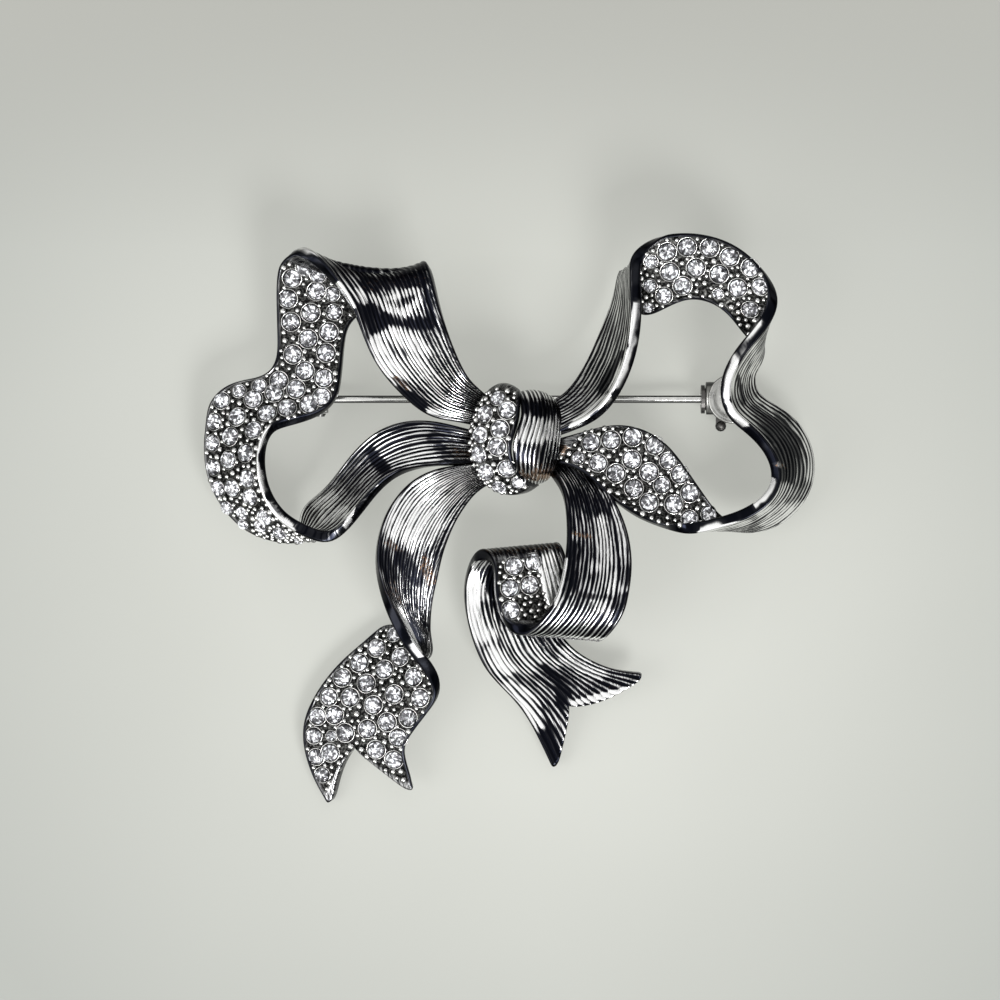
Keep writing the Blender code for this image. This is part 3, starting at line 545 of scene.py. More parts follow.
def ribbon_piece(name, seed):
    """A ribbon as one closed body: engraved face, stone-set face, rounded edges and ends."""
    strip = STRIPS[name]
    turn = strip.ribbon.engraved
    stations = int(strip.walk[-1] / STATION_STEP)
    place_line = np.interp(np.linspace(0, strip.walk[-1], stations), strip.walk, strip.places)
    points = []
    marks_and_reflections = []
    spots = []
    faces = []
    grids = []
    shares = []
    for engraved, side in ((True, turn), (False, -turn)):
        spot, dark, bed, place, share = ribbon_side(name, side, engraved, place_line, seed)
        start = sum(len(part) for part in points)
        points.append(spot.reshape(-1, 3))
        # The tone is painted reflection: bright patches, dark patches and highlights. The stain is a real
        # stain.
        tone, stain = paint(name, spot, place, share, engraved, seed)
        marks_and_reflections.append(np.stack([dark, bed, tone, stain], -1).reshape(-1, 4))
        spots.append(np.stack([strip.walked(place), share * strip.width(place) / MM], -1).reshape(-1, 2))
        grid = start + np.arange(spot[..., 0].size).reshape(stations, -1)
        quads = np.stack([grid[:-1, :-1], grid[1:, :-1], grid[1:, 1:], grid[:-1, 1:]], -1).reshape(-1, 4)
        faces.append(quads if side > 0 else quads[:, ::-1])
        grids.append(grid)
        shares.append(share)
    first, second = grids
    for column, way in ((0, turn), (-1, -turn)):
        corners = [first[:-1, column], first[1:, column], second[1:, column], second[:-1, column]]
        wall = np.stack(corners, -1)
        faces.append(wall[:, ::-1] if way > 0 else wall)
    face_list = [tuple(face) for part in faces for face in part.tolist()]
    for station, way in ((0, turn), (-1, -turn)):
        face_list += end_cap(first[station], second[station], shares[0][station], shares[1][station], way)
    item = mesh_piece(name + "_ribbon", np.concatenate(points), face_list)
    add_marks_and_reflections(item, np.concatenate(marks_and_reflections))
    add_spots(item, np.concatenate(spots))
    return item


def end_cap(first, second, first_share, second_share, way):
    """Faces that close a ribbon between the last lines of its two faces."""
    faces = []
    high = 0
    for low in range(len(second) - 1):
        top = high
        while top < len(first) - 1 and first_share[top + 1] <= second_share[low + 1] + 1e-9:
            top += 1
        if low == len(second) - 2:
            top = len(first) - 1
        face = [int(k) for k in (second[low], *first[high : top + 1], second[low + 1])]
        high = top
        faces.append(face if way > 0 else face[::-1])
    return faces


def add_marks_and_reflections(item, values):
    """Store groove, bed, painted reflection tone and stain for the material to read."""
    layer = item.data.color_attributes.new("marks_and_reflections", "FLOAT_COLOR", "POINT")
    layer.data.foreach_set("color", np.ascontiguousarray(values, dtype=np.float32).ravel())


def add_spots(item, spots):
    """Store distance along and across the ribbon, in millimetres, as texture coordinates."""
    layer = item.data.uv_layers.new(name="along")
    index = np.zeros(len(item.data.loops), dtype=np.int32)
    item.data.loops.foreach_get("vertex_index", index)
    layer.data.foreach_set("uv", np.ascontiguousarray(spots[index], dtype=np.float32).ravel())


# A stroke runs between two places in the view, in image units. It has a reach, a tone of painted reflection
# (0 a painted dark reflection, 1 a painted highlight) and a stain.
Stroke = namedtuple("Stroke", "x1 y1 x2 y2 reach tone stain", defaults=(0,))

# Painted reflections and highlights of the ribbons, with a few stains: ribbon, first and last row, and
# strokes
REFLECTIONS_AND_STAINS = (
    ("left_loop", 0, 9.6, (
        (300, 243, 345, 262, 7, 0.36), (292, 247, 330, 255, 4, 0.42), (345, 262, 425, 262, 12, 0.12),
        (366, 284, 425, 280, 7, 0.06, 0.15), (339, 284, 354, 306, 3, 1), (357, 290, 365, 303, 4, 0.8),
        (372, 297, 385, 306, 4, 0.85), (386, 300, 416, 290, 4, 0.8), (388, 308, 406, 313, 5, 1),
        (404, 313, 421, 300, 4, 1), (421, 300, 417, 290, 3, 0.95), (403, 301, 412, 297, 3, 0.3),
        (364, 308, 374, 328, 10, 0), (374, 316, 392, 322, 6, 0), (388, 324, 430, 324, 6, 0.02),
        (428, 292, 431, 318, 5, 0.04), (440, 300, 448, 335, 6, 0.38), (372, 340, 400, 330, 5, 0.95),
        (377, 350, 398, 372, 13, 1), (402, 337, 420, 350, 12, 1, 0.12), (412, 358, 430, 378, 11, 0.8),
        (436, 335, 452, 362, 7, 0.52), (444, 362, 460, 385, 7, 0.46), (394, 377, 410, 390, 3, 0.35, 0.5),
        (402, 388, 424, 403, 6, 0.02), (428, 386, 452, 398, 9, 0.55), (452, 394, 476, 406, 10, 0.34),
        (428, 411, 470, 415, 3, 1),
    )),
    ("left_loop", 9.6, 24.6, (
        (292, 535, 340, 545, 5, 0.1), (268, 420, 254, 455, 4, 0.95), (254, 455, 262, 500, 4, 0.95),
        (262, 500, 292, 530, 4, 0.9),
    )),
    ("left_loop", 24.6, 33, (
        (436, 424, 470, 430, 7, 0.2), (432, 436, 465, 440, 6, 0.32), (448, 450, 466, 455, 6, 0.36, 0.4),
        (378, 432, 428, 419, 4, 0.12), (388, 436, 424, 432, 6, 0.5), (396, 448, 430, 446, 7, 0.52),
        (396, 462, 440, 458, 6, 0.62), (434, 438, 446, 456, 6, 0.18), (372, 452, 384, 470, 7, 0),
        (360, 452, 366, 472, 6, 0.34), (346, 462, 352, 486, 11, 0.36, 0.1), (330, 488, 344, 500, 9, 0.5),
        (316, 506, 332, 498, 6, 1.05), (322, 520, 344, 512, 6, 0.95), (312, 532, 330, 532, 5, 0.35),
        (303, 512, 312, 528, 8, 0.62), (344, 528, 354, 508, 2, 0.9), (318, 540, 350, 528, 4, 0.02),
        (358, 508, 378, 486, 3, 0.05),
    )),
    ("left_tail", 0, 11.5, (
        (470, 470, 430, 486, 10, 0.74), (460, 492, 444, 520, 7, 0.66, 0.1), (428, 480, 404, 510, 12, 0.95),
        (400, 505, 396, 532, 12, 1), (424, 500, 412, 540, 12, 1.02), (440, 500, 432, 540, 7, 0.85),
        (388, 543, 400, 552, 5, 0.36, 0.5), (382, 556, 392, 580, 9, 0.1), (402, 558, 414, 580, 9, 0.14),
        (424, 560, 430, 580, 6, 0.36, 0.45), (392, 588, 402, 604, 7, 0.3, 0.3),
        (408, 588, 418, 612, 6, 0.22), (420, 596, 425, 640, 4, 0.26, 0.1), (408, 606, 424, 650, 4.6, 0.14),
        (399, 607, 421, 655, 2.2, 1.3), (421, 656, 430, 690, 5, 0), (380, 515, 378, 575, 3, 0.02),
    )),
    ("right_tail", 0, 11.2, (
        (560, 478, 600, 486, 8, 0.4, 0.2), (572, 500, 612, 510, 12, 0.1), (568, 512, 572, 530, 5, 0.1),
        (573, 533, 591, 537, 3, 0.34, 0.6), (616, 510, 626, 560, 6, 0.6), (602, 522, 608, 560, 7, 0.8),
        (584, 550, 592, 572, 8, 0.3), (573, 545, 570, 600, 7, 0.08), (600, 568, 618, 590, 8, 0.8),
        (572, 594, 612, 598, 3, 0.3, 0.2), (560, 602, 585, 614, 8, 0.48), (596, 600, 612, 618, 7, 0.74),
        (624, 596, 616, 618, 5, 0.14), (544, 639, 610, 642, 3.8, 1.5), (566, 560, 556, 604, 3, 0.7),
    )),
    ("right_tail", 11.2, 16.4, (
        (480, 552, 560, 546, 6, 0.2, 0.35), (550, 562, 546, 604, 12, 1.1, 0.2),
        (508, 614, 536, 612, 6, 0.44, 0.2), (500, 632, 545, 622, 5, 0.02),
    )),
    ("right_tail", 16.4, 26, (
        (474, 566, 486, 562, 4, 0.62), (468, 582, 482, 592, 10, 1.25), (464, 600, 484, 634, 13, 1.25),
        (492, 652, 508, 668, 9, 1.05), (512, 640, 528, 664, 8, 0.74), (530, 644, 552, 664, 8, 0.7),
        (546, 668, 568, 690, 6, 0.04), (560, 690, 560, 704, 5, 0.04), (566, 656, 598, 676, 8, 0.82),
        (596, 686, 622, 690, 7, 0.34, 0.1), (614, 680, 636, 678, 5, 0.4), (574, 703, 644, 686, 3.4, 1.3),
        (512, 684, 532, 704, 8, 0.95), (530, 712, 542, 728, 8, 0.95), (548, 716, 556, 724, 6, 0.55),
        (544, 738, 556, 762, 12, 0), (490, 568, 491, 596, 4, 0), (494, 602, 505, 624, 3, 0),
    )),
    ("right_loop", 0, 8.4, (
        (624, 262, 612, 310, 10, 0.5), (604, 322, 616, 340, 10, 0.44), (590, 352, 614, 356, 11, 0.46),
        (568, 396, 600, 384, 12, 0.44), (637, 300, 632, 348, 4, 0.95), (630, 350, 611, 390, 4, 0.95),
        (608, 396, 572, 426, 4, 0.95), (634, 250, 631, 300, 3, 0.02), (622, 352, 600, 392, 3, 0),
    )),
    ("right_loop", 8.4, 15.6, (
        (636, 258, 636, 300, 3, 0.02), (774, 286, 768, 318, 4, 0),
    )),
    ("right_loop", 15.6, 30, (
        (762, 322, 735, 359, 3, 0.9), (736, 356, 726, 400, 4, 0.95), (728, 404, 746, 424, 4, 0.9),
        (746, 350, 744, 380, 4.6, 0.7), (752, 334, 757, 380, 6, 0.9), (738, 376, 744, 404, 2, 0),
        (760, 385, 776, 404, 7, 0.62), (756, 410, 776, 436, 7, 0.22), (778, 424, 792, 452, 12, 0.06),
        (782, 456, 786, 476, 10, 0.02), (776, 464, 784, 466, 3, 0.25, 0.45), (806, 430, 814, 476, 7, 0.74),
        (798, 460, 802, 486, 4, 0.3), (772, 480, 756, 504, 4, 0.98), (786, 488, 776, 506, 6, 0.7),
        (760, 512, 790, 508, 6, 0.95), (766, 524, 800, 508, 6, 1.05), (700, 532, 750, 522, 3, 0.9),
    )),
    ("right_loop", 34, 37, (
        (557, 446, 567, 453, 5, 0.4, 1),
    )),
    ("left_tail", 17, 20, (
        (320, 796, 410, 786, 30, 0.24), (408, 748, 415, 788, 2.2, 0.7),
    )),
    ("knot_wrap", 0, 8, (
        (516, 392, 556, 397, 7, 0.62), (520, 406, 558, 414, 7, 0.06), (522, 430, 558, 432, 11, 1.1),
        (520, 454, 556, 456, 8, 0.34), (524, 466, 554, 466, 6, 0.4, 0.3),
        (524, 476, 552, 474, 5, 0.85, 0.9), (517, 420, 514, 450, 2, 0.75, 0.4),
    )),
)
# Tones of the painted reflections: the plain tone of an engraved face; the middle and spread that the
# material reads the tone with; the tone of a stone-set face, a painted dark reflection; the painted dark
# reflection along every edge, which fades out from DARK_EDGE to DARK_EDGE_END. Strokes no wider than
# HIGHLIGHT_REACH are laid on after the edges, mostly as painted highlights.
PLAIN_TONE = 0.44
MIDDLE_TONE = 1.68
RIM_TONE = 0.16
EDGE_TONE = -0.1
TONE_SPREAD = 1.5
DARK_EDGE = 0.10 * MM
DARK_EDGE_END = 0.38 * MM
HIGHLIGHT_REACH = 4.5

# Shares of a stroke's reach where it starts to fade and where it ends
STROKE_CORE = 0.55
STROKE_END = 1.35


def stroke_share(seen, stroke, jag):
    """How much a stroke covers each place in the view."""
    start = np.array([stroke.x1, stroke.y1])
    span = np.array([stroke.x2 - stroke.x1, stroke.y2 - stroke.y1])
    reach = stroke.reach
    along = np.clip(((seen - start) @ span) / max(span @ span, 1), 0, 1)
    gap = np.linalg.norm(seen - start - along[..., None] * span, axis=-1)
    if reach > HIGHLIGHT_REACH:
        gap = gap + STROKE_CORE * reach * jag
    else:
        gap = gap / (1 - 0.3 * np.abs(2 * along - 1) ** 6)
    return 1 - smooth_step(gap, STROKE_CORE * reach, STROKE_END * reach)


def paint(name, points, place, share, engraved, seed):
    """Tone of painted reflections, and stain, of a ribbon's points: broad painted patches, painted dark
    edges, then narrow painted highlights.
    """
    strip = STRIPS[name]
    seen = view_of(points)
    walk = strip.walked(place)
    line = line_number(strip, place, share, seed, strip.lines_at(place))
    jag = value_noise(walk / 2.6, np.floor(line) * 5.37, seed + 31)
    jag += 0.5 * value_noise(walk / 0.8, line * 2.7, seed + 32)
    tone = np.full(place.shape, PLAIN_TONE if engraved else RIM_TONE)
    stain = np.zeros(place.shape)
    for narrow in (False, True):
        for ribbon, first_row, last_row, strokes in REFLECTIONS_AND_STAINS:
            if ribbon != name:
                continue
            inside = (place >= first_row) & (place <= last_row)
            for stroke in (Stroke(*values) for values in strokes):
                if (stroke.reach <= HIGHLIGHT_REACH) == narrow:
                    cover = stroke_share(seen, stroke, jag) * inside
                    tone += (stroke.tone - tone) * cover
                    stain += (stroke.stain - stain) * cover
        if not narrow:
            # Painted dark reflection along every edge.
            rim = 1 - smooth_step(strip.edge_gap(place, share), DARK_EDGE, DARK_EDGE_END)
            tone += (EDGE_TONE - tone) * rim
    return MIDDLE_TONE + TONE_SPREAD * (tone - PLAIN_TONE), stain


def field_samples(field, steps):
    """A fine net of places and shares over a field."""
    line = np.linspace(field.start, field.end, steps)
    share_line = np.linspace(NET_EDGE, min(field.share_to, 1 - NET_EDGE), steps)
    place, share = np.meshgrid(line, share_line, indexing="ij")
    return place.ravel(), share.ravel()


def view_of(points):
    """Where points are seen in the image."""
    scale = IMAGE_SIDE * VIEW_LENS / SENSOR / (VIEW_HEIGHT - points[..., 2])
    x = IMAGE_SIDE / 2 + (points[..., 0] - VIEW_X) * scale
    y = IMAGE_SIDE / 2 - (points[..., 1] - VIEW_Y) * scale
    return np.stack([x, y], -1)


def side_of(field):
    """Which face of its ribbon a field is set in."""
    return -RIBBONS[field.ribbon].engraved


def on_face(field, place, share, height):
    """Points at a height over the stone-set face of a field's ribbon."""
    strip = STRIPS[field.ribbon]
    return strip.lifted(place, strip.spread(place, share), np.full(place.shape, side_of(field) * height))


def find_places(field, marks):
    """Place and share of each mark that is seen on a field's face."""
    place, share = field_samples(field, STONE_NET)
    seen = view_of(on_face(field, place, share, STONE_RISE))
    best = [int(np.argmin(np.hypot(seen[:, 0] - mark[0], seen[:, 1] - mark[1]))) for mark in marks]
    return place[best], share[best]


def circle(radius, count, height, turn=0.0):
    """Points on a circle. The turn is in steps from point to point."""
    step = 2 * math.pi / count
    angles = [(k + turn) * step for k in range(count)]
    return [(radius * math.cos(angle), radius * math.sin(angle), height) for angle in angles]


def cut_stone():
    """Points and faces of a round stone of radius 1: crown faces first, then the foiled faces."""
    table = circle(0.58, 8, 0.33)
    star = circle(0.79, 8, 0.215, 0.5)
    halves = circle(0.35, 8, -0.19, 0.5)
    points = table + star + circle(1.0, 16, 0.02) + circle(1.0, 16, -0.02) + halves + [(0, 0, -0.25)]
    crown = [tuple(range(8))]
    pavilion = []
    for k in range(8):
        after = (k + 1) % 8
        back = (k - 1) % 8
        rim = 16 + 2 * k
        rim_next = 16 + (2 * k + 2) % 16
        crown.append((k, 8 + k, after))
        crown.append((k, 8 + back, rim, 8 + k))
        crown.append((8 + k, rim, rim + 1))
        crown.append((8 + k, rim + 1, rim_next))
        crown.append((rim, rim + 16, rim + 17, rim + 1))
        crown.append((rim + 1, rim + 17, rim_next + 16, rim_next))
        pavilion.append((56, 48 + k, rim + 16))
        pavilion.append((56, rim + 16, 48 + back))
        pavilion.append((48 + k, rim + 17, rim + 16))
        pavilion.append((48 + k, rim_next + 16, rim + 17))
    return np.array(points), crown, pavilion


def frames(strip, place, share, side):
    """The three axes of a small frame at each place on a ribbon's face."""
    small = 0.05
    normal = strip.normal(place, share) * side
    along = unit(strip.point(place + small, share) - strip.point(place - small, share))
    sideways = np.cross(normal, along)
    return along, sideways, normal


def scattered(points, faces, middles, axes, sizes):
    """Copies of a small shape, each on its own frame."""
    all_points = []
    all_faces = []
    along, sideways, normal = axes
    for index, middle in enumerate(middles):
        x, y, z = np.split(points * sizes[index], 3, axis=1)
        all_points.append(middle + x * along[index] + y * sideways[index] + z * normal[index])
        base = index * len(points)
        all_faces += [tuple(base + k for k in face) for face in faces]
    return np.concatenate(all_points), all_faces


def turned_axes(axes, generator, tilt):
    """Frames turned about their normals, set more upright and tilted a little, each by its own amount."""
    along, sideways, normal = axes
    angle = generator.uniform(0, 2 * math.pi, len(normal))[:, None]
    turned = along * np.cos(angle) + sideways * np.sin(angle)
    lean = generator.normal(0, tilt, (len(normal), 2))
    normal = unit(normal + along * lean[:, :1] + sideways * lean[:, 1:])
    normal = unit(normal + UPRIGHT * np.array([0, 0, 1]))
    turned = unit(turned - normal * np.sum(turned * normal, axis=1, keepdims=True))
    return turned, np.cross(normal, turned), normal


def band(rows, count, closed=False):
    """Faces between rows of so many points each. If closed, the last row joins the first."""
    faces = []
    for row in range(rows if closed else rows - 1):
        low = row * count
        high = (row + 1) % rows * count
        for k in range(count):
            after = (k + 1) % count
            faces.append((low + k, low + after, high + after, high + k))
    return faces


def dome(sides, rings):
    """Points and faces of a half ball of radius 1 with a short skirt."""
    points = circle(1.0, sides, -0.5)
    for ring in range(rings):
        angle = math.pi / 2 * ring / rings
        points += circle(math.cos(angle), sides, math.sin(angle))
    points.append((0, 0, 1))
    faces = band(rings + 1, sides)
    top = rings * sides
    for k in range(sides):
        faces.append((top + k, top + (k + 1) % sides, len(points) - 1))
    faces.append(tuple(reversed(range(sides))))
    return np.array(points), faces


def seat_ring(sides, section):
    """Points and faces of a thin ring round a stone of radius 1."""
    points = []
    for x, y, _ in circle(1.0, sides, 0.0):
        for out, rise, _ in circle(SEAT_WIRE, section, 0.0):
            points.append(((SEAT_RADIUS + out) * x, (SEAT_RADIUS + out) * y, rise))
    faces = [(a, d, c, b) for a, b, c, d in band(sides, section, closed=True)]
    return np.array(points), faces


def add_values(item, name, domain, values):
    """Store a number for each point or face, for the material to read."""
    layer = item.data.attributes.new(name, "FLOAT", domain)
    layer.data.foreach_set("value", values.astype(np.float32))


def stone_field(name, field, seed):
    """Stones, the rings they sit in and the grains between them."""
    generator = np.random.default_rng(seed)
    marks = STONES[name]
    count = len(marks)
    place, share = find_places(field, marks)
    size = np.array([mark[2] if len(mark) > 2 else 1.0 for mark in marks]) * STONE_DIA / 2
    axes = frames(STRIPS[field.ribbon], place, share, side_of(field))
    middles = on_face(field, place, share, STONE_RISE)
    points, crown, pavilion = cut_stone()
    stone_axes = turned_axes(axes, generator, STONE_TILT)
    spots, faces = scattered(points, crown + pavilion, middles, stone_axes, size)
    shape = spots.reshape(count, -1, 3)
    drift = generator.normal(0, FOIL_DRIFT, (count, 1, 2))
    drift = drift + generator.normal(0, POINT_DRIFT, (count, LOW_POINTS, 2))
    drift = drift * size[:, None, None]
    along, sideways = stone_axes[0][:, None], stone_axes[1][:, None]
    shape[:, -LOW_POINTS:] += drift[..., :1] * along + drift[..., 1:] * sideways
    stones = mesh_piece(name + "_stones", shape.reshape(-1, 3), faces, smooth=False)
    stones.data.materials.append(CRYSTAL)
    stones.data.materials.append(FOIL)
    index = np.arange(len(faces)) % (len(crown) + len(pavilion))
    foiled = index >= len(crown)
    rim_facet = foiled & ((index - len(crown)) % 4 > 1)
    girdle = ~foiled & (index > 0) & ((index - 1) % 6 > 3)
    stones.data.polygons.foreach_set("material_index", (foiled | girdle).astype(np.int32))
    add_values(stones, "reach", "POINT", np.tile(np.hypot(points[:, 0], points[:, 1]), count))
    # Painted glints: each foiled facet gets a random brightness, less at the rim; the girdle gets none and
    # stays dark.
    glow = generator.random(len(faces)) * np.where(rim_facet, RIM_GLOW, 1.0) * ~girdle
    add_values(stones, "spark", "FACE", glow)
    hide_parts(name)
    ring_points, ring_faces = seat_ring(24, 6)
    seats = on_face(field, place, share, STONE_RISE - SEAT_DROP)
    ring_spots, ring_list = scattered(ring_points, ring_faces, seats, axes, size)
    grain_spots, grain_list = grains(field, middles, size, generator)
    base = len(ring_spots)
    ring_list += [tuple(base + k for k in face) for face in grain_list]
    metal = mesh_piece(name + "_grains", np.concatenate([ring_spots, grain_spots]), ring_list)
    metal.data.materials.append(GRAIN_METAL)


def grains(field, middles, sizes, generator):
    """Small round grains of metal wherever there is room between the stones."""
    strip = STRIPS[field.ribbon]
    place, share = field_samples(field, GRAIN_NET)
    order = generator.permutation(len(place))
    place, share = place[order], share[order]
    mask = field_mask(strip, field, place, share)
    place, share = place[mask > 0.9], share[mask > 0.9]
    spots = on_face(field, place, share, RIBBON_THICK / 2 - GRAIN_DROP)
    chosen = []
    radii = []
    for index, spot in enumerate(spots):
        radius = (GRAIN_LEAST + GRAIN_SPREAD * generator.random()) * MM
        room = np.linalg.norm(middles - spot, axis=1) - sizes
        if room.min() < radius + STONE_ROOM:
            continue
        if chosen:
            gaps = np.linalg.norm(spots[chosen] - spot, axis=1) - np.array(radii)
            if gaps.min() < radius + GRAIN_ROOM:
                continue
        chosen.append(index)
        radii.append(radius)
    axes = frames(strip, place[chosen], share[chosen], side_of(field))
    points, faces = dome(10, 3)
    return scattered(points, faces, spots[chosen], axes, np.array(radii))


def feed(tree, node, inputs):
    """Set a node's inputs to values, or link them to sockets."""
    for key, value in inputs.items():
        if isinstance(value, bpy.types.NodeSocket):
            tree.links.new(value, node.inputs[key])
        else:
            node.inputs[key].default_value = value


def add(tree, kind, inputs, **settings):
    """A node of a kind, with its settings and inputs."""
    node = tree.nodes.new("ShaderNode" + kind)
    for key, value in settings.items():
        setattr(node, key, value)
    feed(tree, node, inputs)
    return node


def new_material(name, recipe):
    """A material whose shader gets the inputs that a recipe makes in its node tree."""
    material = bpy.data.materials.new(name)
    material.use_nodes = True
    tree = material.node_tree
    feed(tree, tree.nodes["Principled BSDF"], recipe(tree))
    return material


def noise(tree, scale, detail, coordinates=None, stretch=(1, 1, 1)):
    """A noise texture on an object's own space or on given coordinates."""
    if coordinates is None:
        coordinates = add(tree, "TexCoord", {}).outputs["Object"]
    place = add(tree, "Mapping", {"Vector": coordinates, "Scale": stretch}).outputs["Vector"]
    return add(tree, "TexNoise", {"Vector": place, "Scale": scale, "Detail": detail}).outputs["Fac"]


def as_colour(value):
    """A colour as three parts. A number is a grey."""
    return value if isinstance(value, tuple) else (value, value, value)


def ramp(tree, value, stops):
    """A colour ramp from (place, colour or grey) stops."""
    node = add(tree, "ValToRGB", {"Fac": value})
    elements = node.color_ramp.elements
    while len(elements) < len(stops):
        elements.new(0.5)
    for element, (place, colour) in zip(elements, stops):
        element.position = place
        element.color = (*as_colour(colour), 1.0)
    return node.outputs["Color"]


def mixed(tree, share, first, second, blend="MIX"):
    """Mix of two colours, each a colour or a socket. Its sockets' names repeat, so identifiers find them."""
    node = add(tree, "Mix", {}, data_type="RGBA", blend_type=blend)
    names = [socket.identifier for socket in node.inputs]
    first, second = [(*value, 1.0) if isinstance(value, tuple) else value for value in (first, second)]
    keys = [names.index(key) for key in ("Factor_Float", "A_Color", "B_Color")]
    feed(tree, node, dict(zip(keys, (share, first, second))))
    return next(socket for socket in node.outputs if socket.type == "RGBA")


def sum_of(tree, first, second, factor):
    """First value plus second value times a factor."""
    return add(tree, "Math", {0: second, 1: factor, 2: first}, operation="MULTIPLY_ADD").outputs["Value"]


def ranged(tree, value, low, high):
    """0 at low, 1 at high and a straight line between them."""
    return add(tree, "MapRange", {"Value": value, "From Min": low, "From Max": high}).outputs["Result"]


def attribute(tree, name):
    """A number stored on the mesh."""
    return add(tree, "Attribute", {}, attribute_name=name).outputs["Fac"]


def ribbon_metal(tree):
    """Plate with lines, painted reflections (bright and dark patches and highlights), black beds and a few
    brown stains.
    """
    marks_and_reflections = add(tree, "VertexColor", {}, layer_name="marks_and_reflections")
    parts = add(tree, "SeparateColor", {"Color": marks_and_reflections.outputs["Color"]})
    groove, bed, tone = (parts.outputs[name] for name in ("Red", "Green", "Blue"))
    lay = add(tree, "UVMap", {}, uv_map="along").outputs["UV"]
    streak = noise(tree, 1.0, 2.0, lay, (0.4, 7.0, 1.0))
    broad = noise(tree, 1.0, 1.0, lay, (0.5, 2.4, 1.0))
    # The painted reflection tone, with streaks, broad noise, grooves and scratches, sets the plate's grey.
    # The ramp below takes it from black with a navy tint up to near white.
    value = sum_of(tree, tone, streak, 0.7)
    value = sum_of(tree, value, broad, 0.35)
    value = sum_of(tree, value, groove, -1.9)
    scratch = noise(tree, 1.0, 1.0, lay, (0.22, 8.0, 1.0))
    value = sum_of(tree, value, ramp(tree, scratch, ((0.43, 0), (0.48, 1), (0.52, 1), (0.57, 0))), -0.38)
    black, blue = (0.004, 0.0045, 0.007), (0.018, 0.019, 0.023)
    stops = ((0.0, black), (0.34, blue), (0.5, 0.26), (0.66, 0.80), (1.0, 0.95))
    plate = ramp(tree, ranged(tree, value, 1.07, 2.57), stops)
    specks = noise(tree, 1.0, 2.0, lay, (2.5, 9.0, 1.0))
    patchy = sum_of(tree, specks, marks_and_reflections.outputs["Alpha"], 0.5)
    stained = mixed(tree, ramp(tree, patchy, ((0.73, 0), (0.88, 0.85))), plate, (0.20, 0.12, 0.07))
    dirt = ramp(tree, noise(tree, 4500.0, 2.0), ((0.44, 0.006), (0.68, (0.11, 0.11, 0.105))))
    rough = ramp(tree, streak, ((0.3, 0.14), (0.75, 0.26)))
    relief = add(tree, "Bump", {"Height": streak, "Distance": 0.02 * MM, "Strength": 0.5})
    return {
        "Base Color": mixed(tree, bed, stained, dirt),
        "Metallic": 1.0,
        "Roughness": mixed(tree, bed, rough, (0.42, 0.42, 0.42)),
        "Normal": relief.outputs["Normal"],
    }


def bright_metal(name, colour, rough, marks, turn_from=0.22, turn_to=0.42):
    """Polished metal with faint marks, with a painted dark reflection where it turns away from the view."""

    def recipe(tree):
        fine = noise(tree, marks, 3.0)
        facing = add(tree, "LayerWeight", {"Blend": 0.5}).outputs["Facing"]
        # Painted dark reflection: the base colour goes nearly black where the surface turns away from the
        # view.
        turned = ramp(tree, facing, ((turn_from, 0), (turn_to, 0.92)))
        low = tuple(0.86 * part for part in colour)
        plate = ramp(tree, fine, ((0.3, low), (0.7, colour)))
        return {
            "Base Color": mixed(tree, turned, plate, (0.02, 0.02, 0.022)),
            "Metallic": 1.0,
            "Roughness": ramp(tree, fine, ((0.3, rough), (0.7, rough * 1.8))),
        }

    return new_material(name, recipe)


def crystal(tree):
    """Clear cut glass."""
    bloom = noise(tree, 1400.0, 2.0)
    return {
        "Base Color": ramp(tree, bloom, ((0.35, (0.93, 0.95, 0.98)), (0.65, (0.99, 0.99, 1.0)))),
        "Roughness": ramp(tree, bloom, ((0.45, 0), (0.75, 0.06))),
        "IOR": 1.5,
        "Transmission Weight": 1.0,
    }


def foil(tree):
    """The foil behind a stone: painted glints, mostly bright, with facets, blots, a ring of painted shade
    and a painted glow.
    """
    blots = noise(tree, 2600.0, 2.0)
    value = sum_of(tree, blots, attribute(tree, "spark"), 0.5)
    black, dark = (0.01, 0.01, 0.012), (0.10, 0.10, 0.11)
    grey, white = (0.32, 0.32, 0.33), (0.97, 0.97, 0.98)
    facets = ramp(tree, value, ((0.54, black), (0.61, dark), (0.70, grey), (0.77, white)))
    broken = sum_of(tree, attribute(tree, "reach"), blots, 0.5)
    ring = ramp(tree, broken, ((0.70, 0), (0.78, 0.85), (0.86, 0.85), (0.94, 0)))
    shade = mixed(tree, ring, facets, (0.05, 0.05, 0.055))
    # The foil glows with its own colour, a painted light.
    return {"Base Color": shade, "Roughness": 0.3, "Emission Color": shade, "Emission Strength": 0.5}


HINGE_AT = np.array([across(-192), across(120), 1.7 * MM])
CATCH_AT = np.array([across(212), across(120), 1.7 * MM])
PAD_AT = np.array([across(225), across(120), 3.84 * MM])

# In millimetres
PAD_RADIUS = 2.75
PIN_POINT = 26.33
PIN_RADIUS = 0.425
PIN_TIP = 4.5
EAR_FRONT = 0.9
EAR_BACK = 1.4
EAR_FOOT = 1.69
EAR_HOLE = 0.5
EAR_INSIDE = 0.7
EAR_OUTSIDE = 1.5
BLOCK_FROM = 1.17
BLOCK_TO = 3.4
HOUSING_IN = 1.39
HOUSING_OUT = 1.94
LIP_IN = 1.47
LIP_OUT = 1.88

# In degrees: the corners of an ear, and where the wall of the catch housing starts and ends
EAR_CORNERS = [61.96, 129.6, 230.4, 298.04]
HOUSING_FROM = 121.5
HOUSING_TO = 337.0


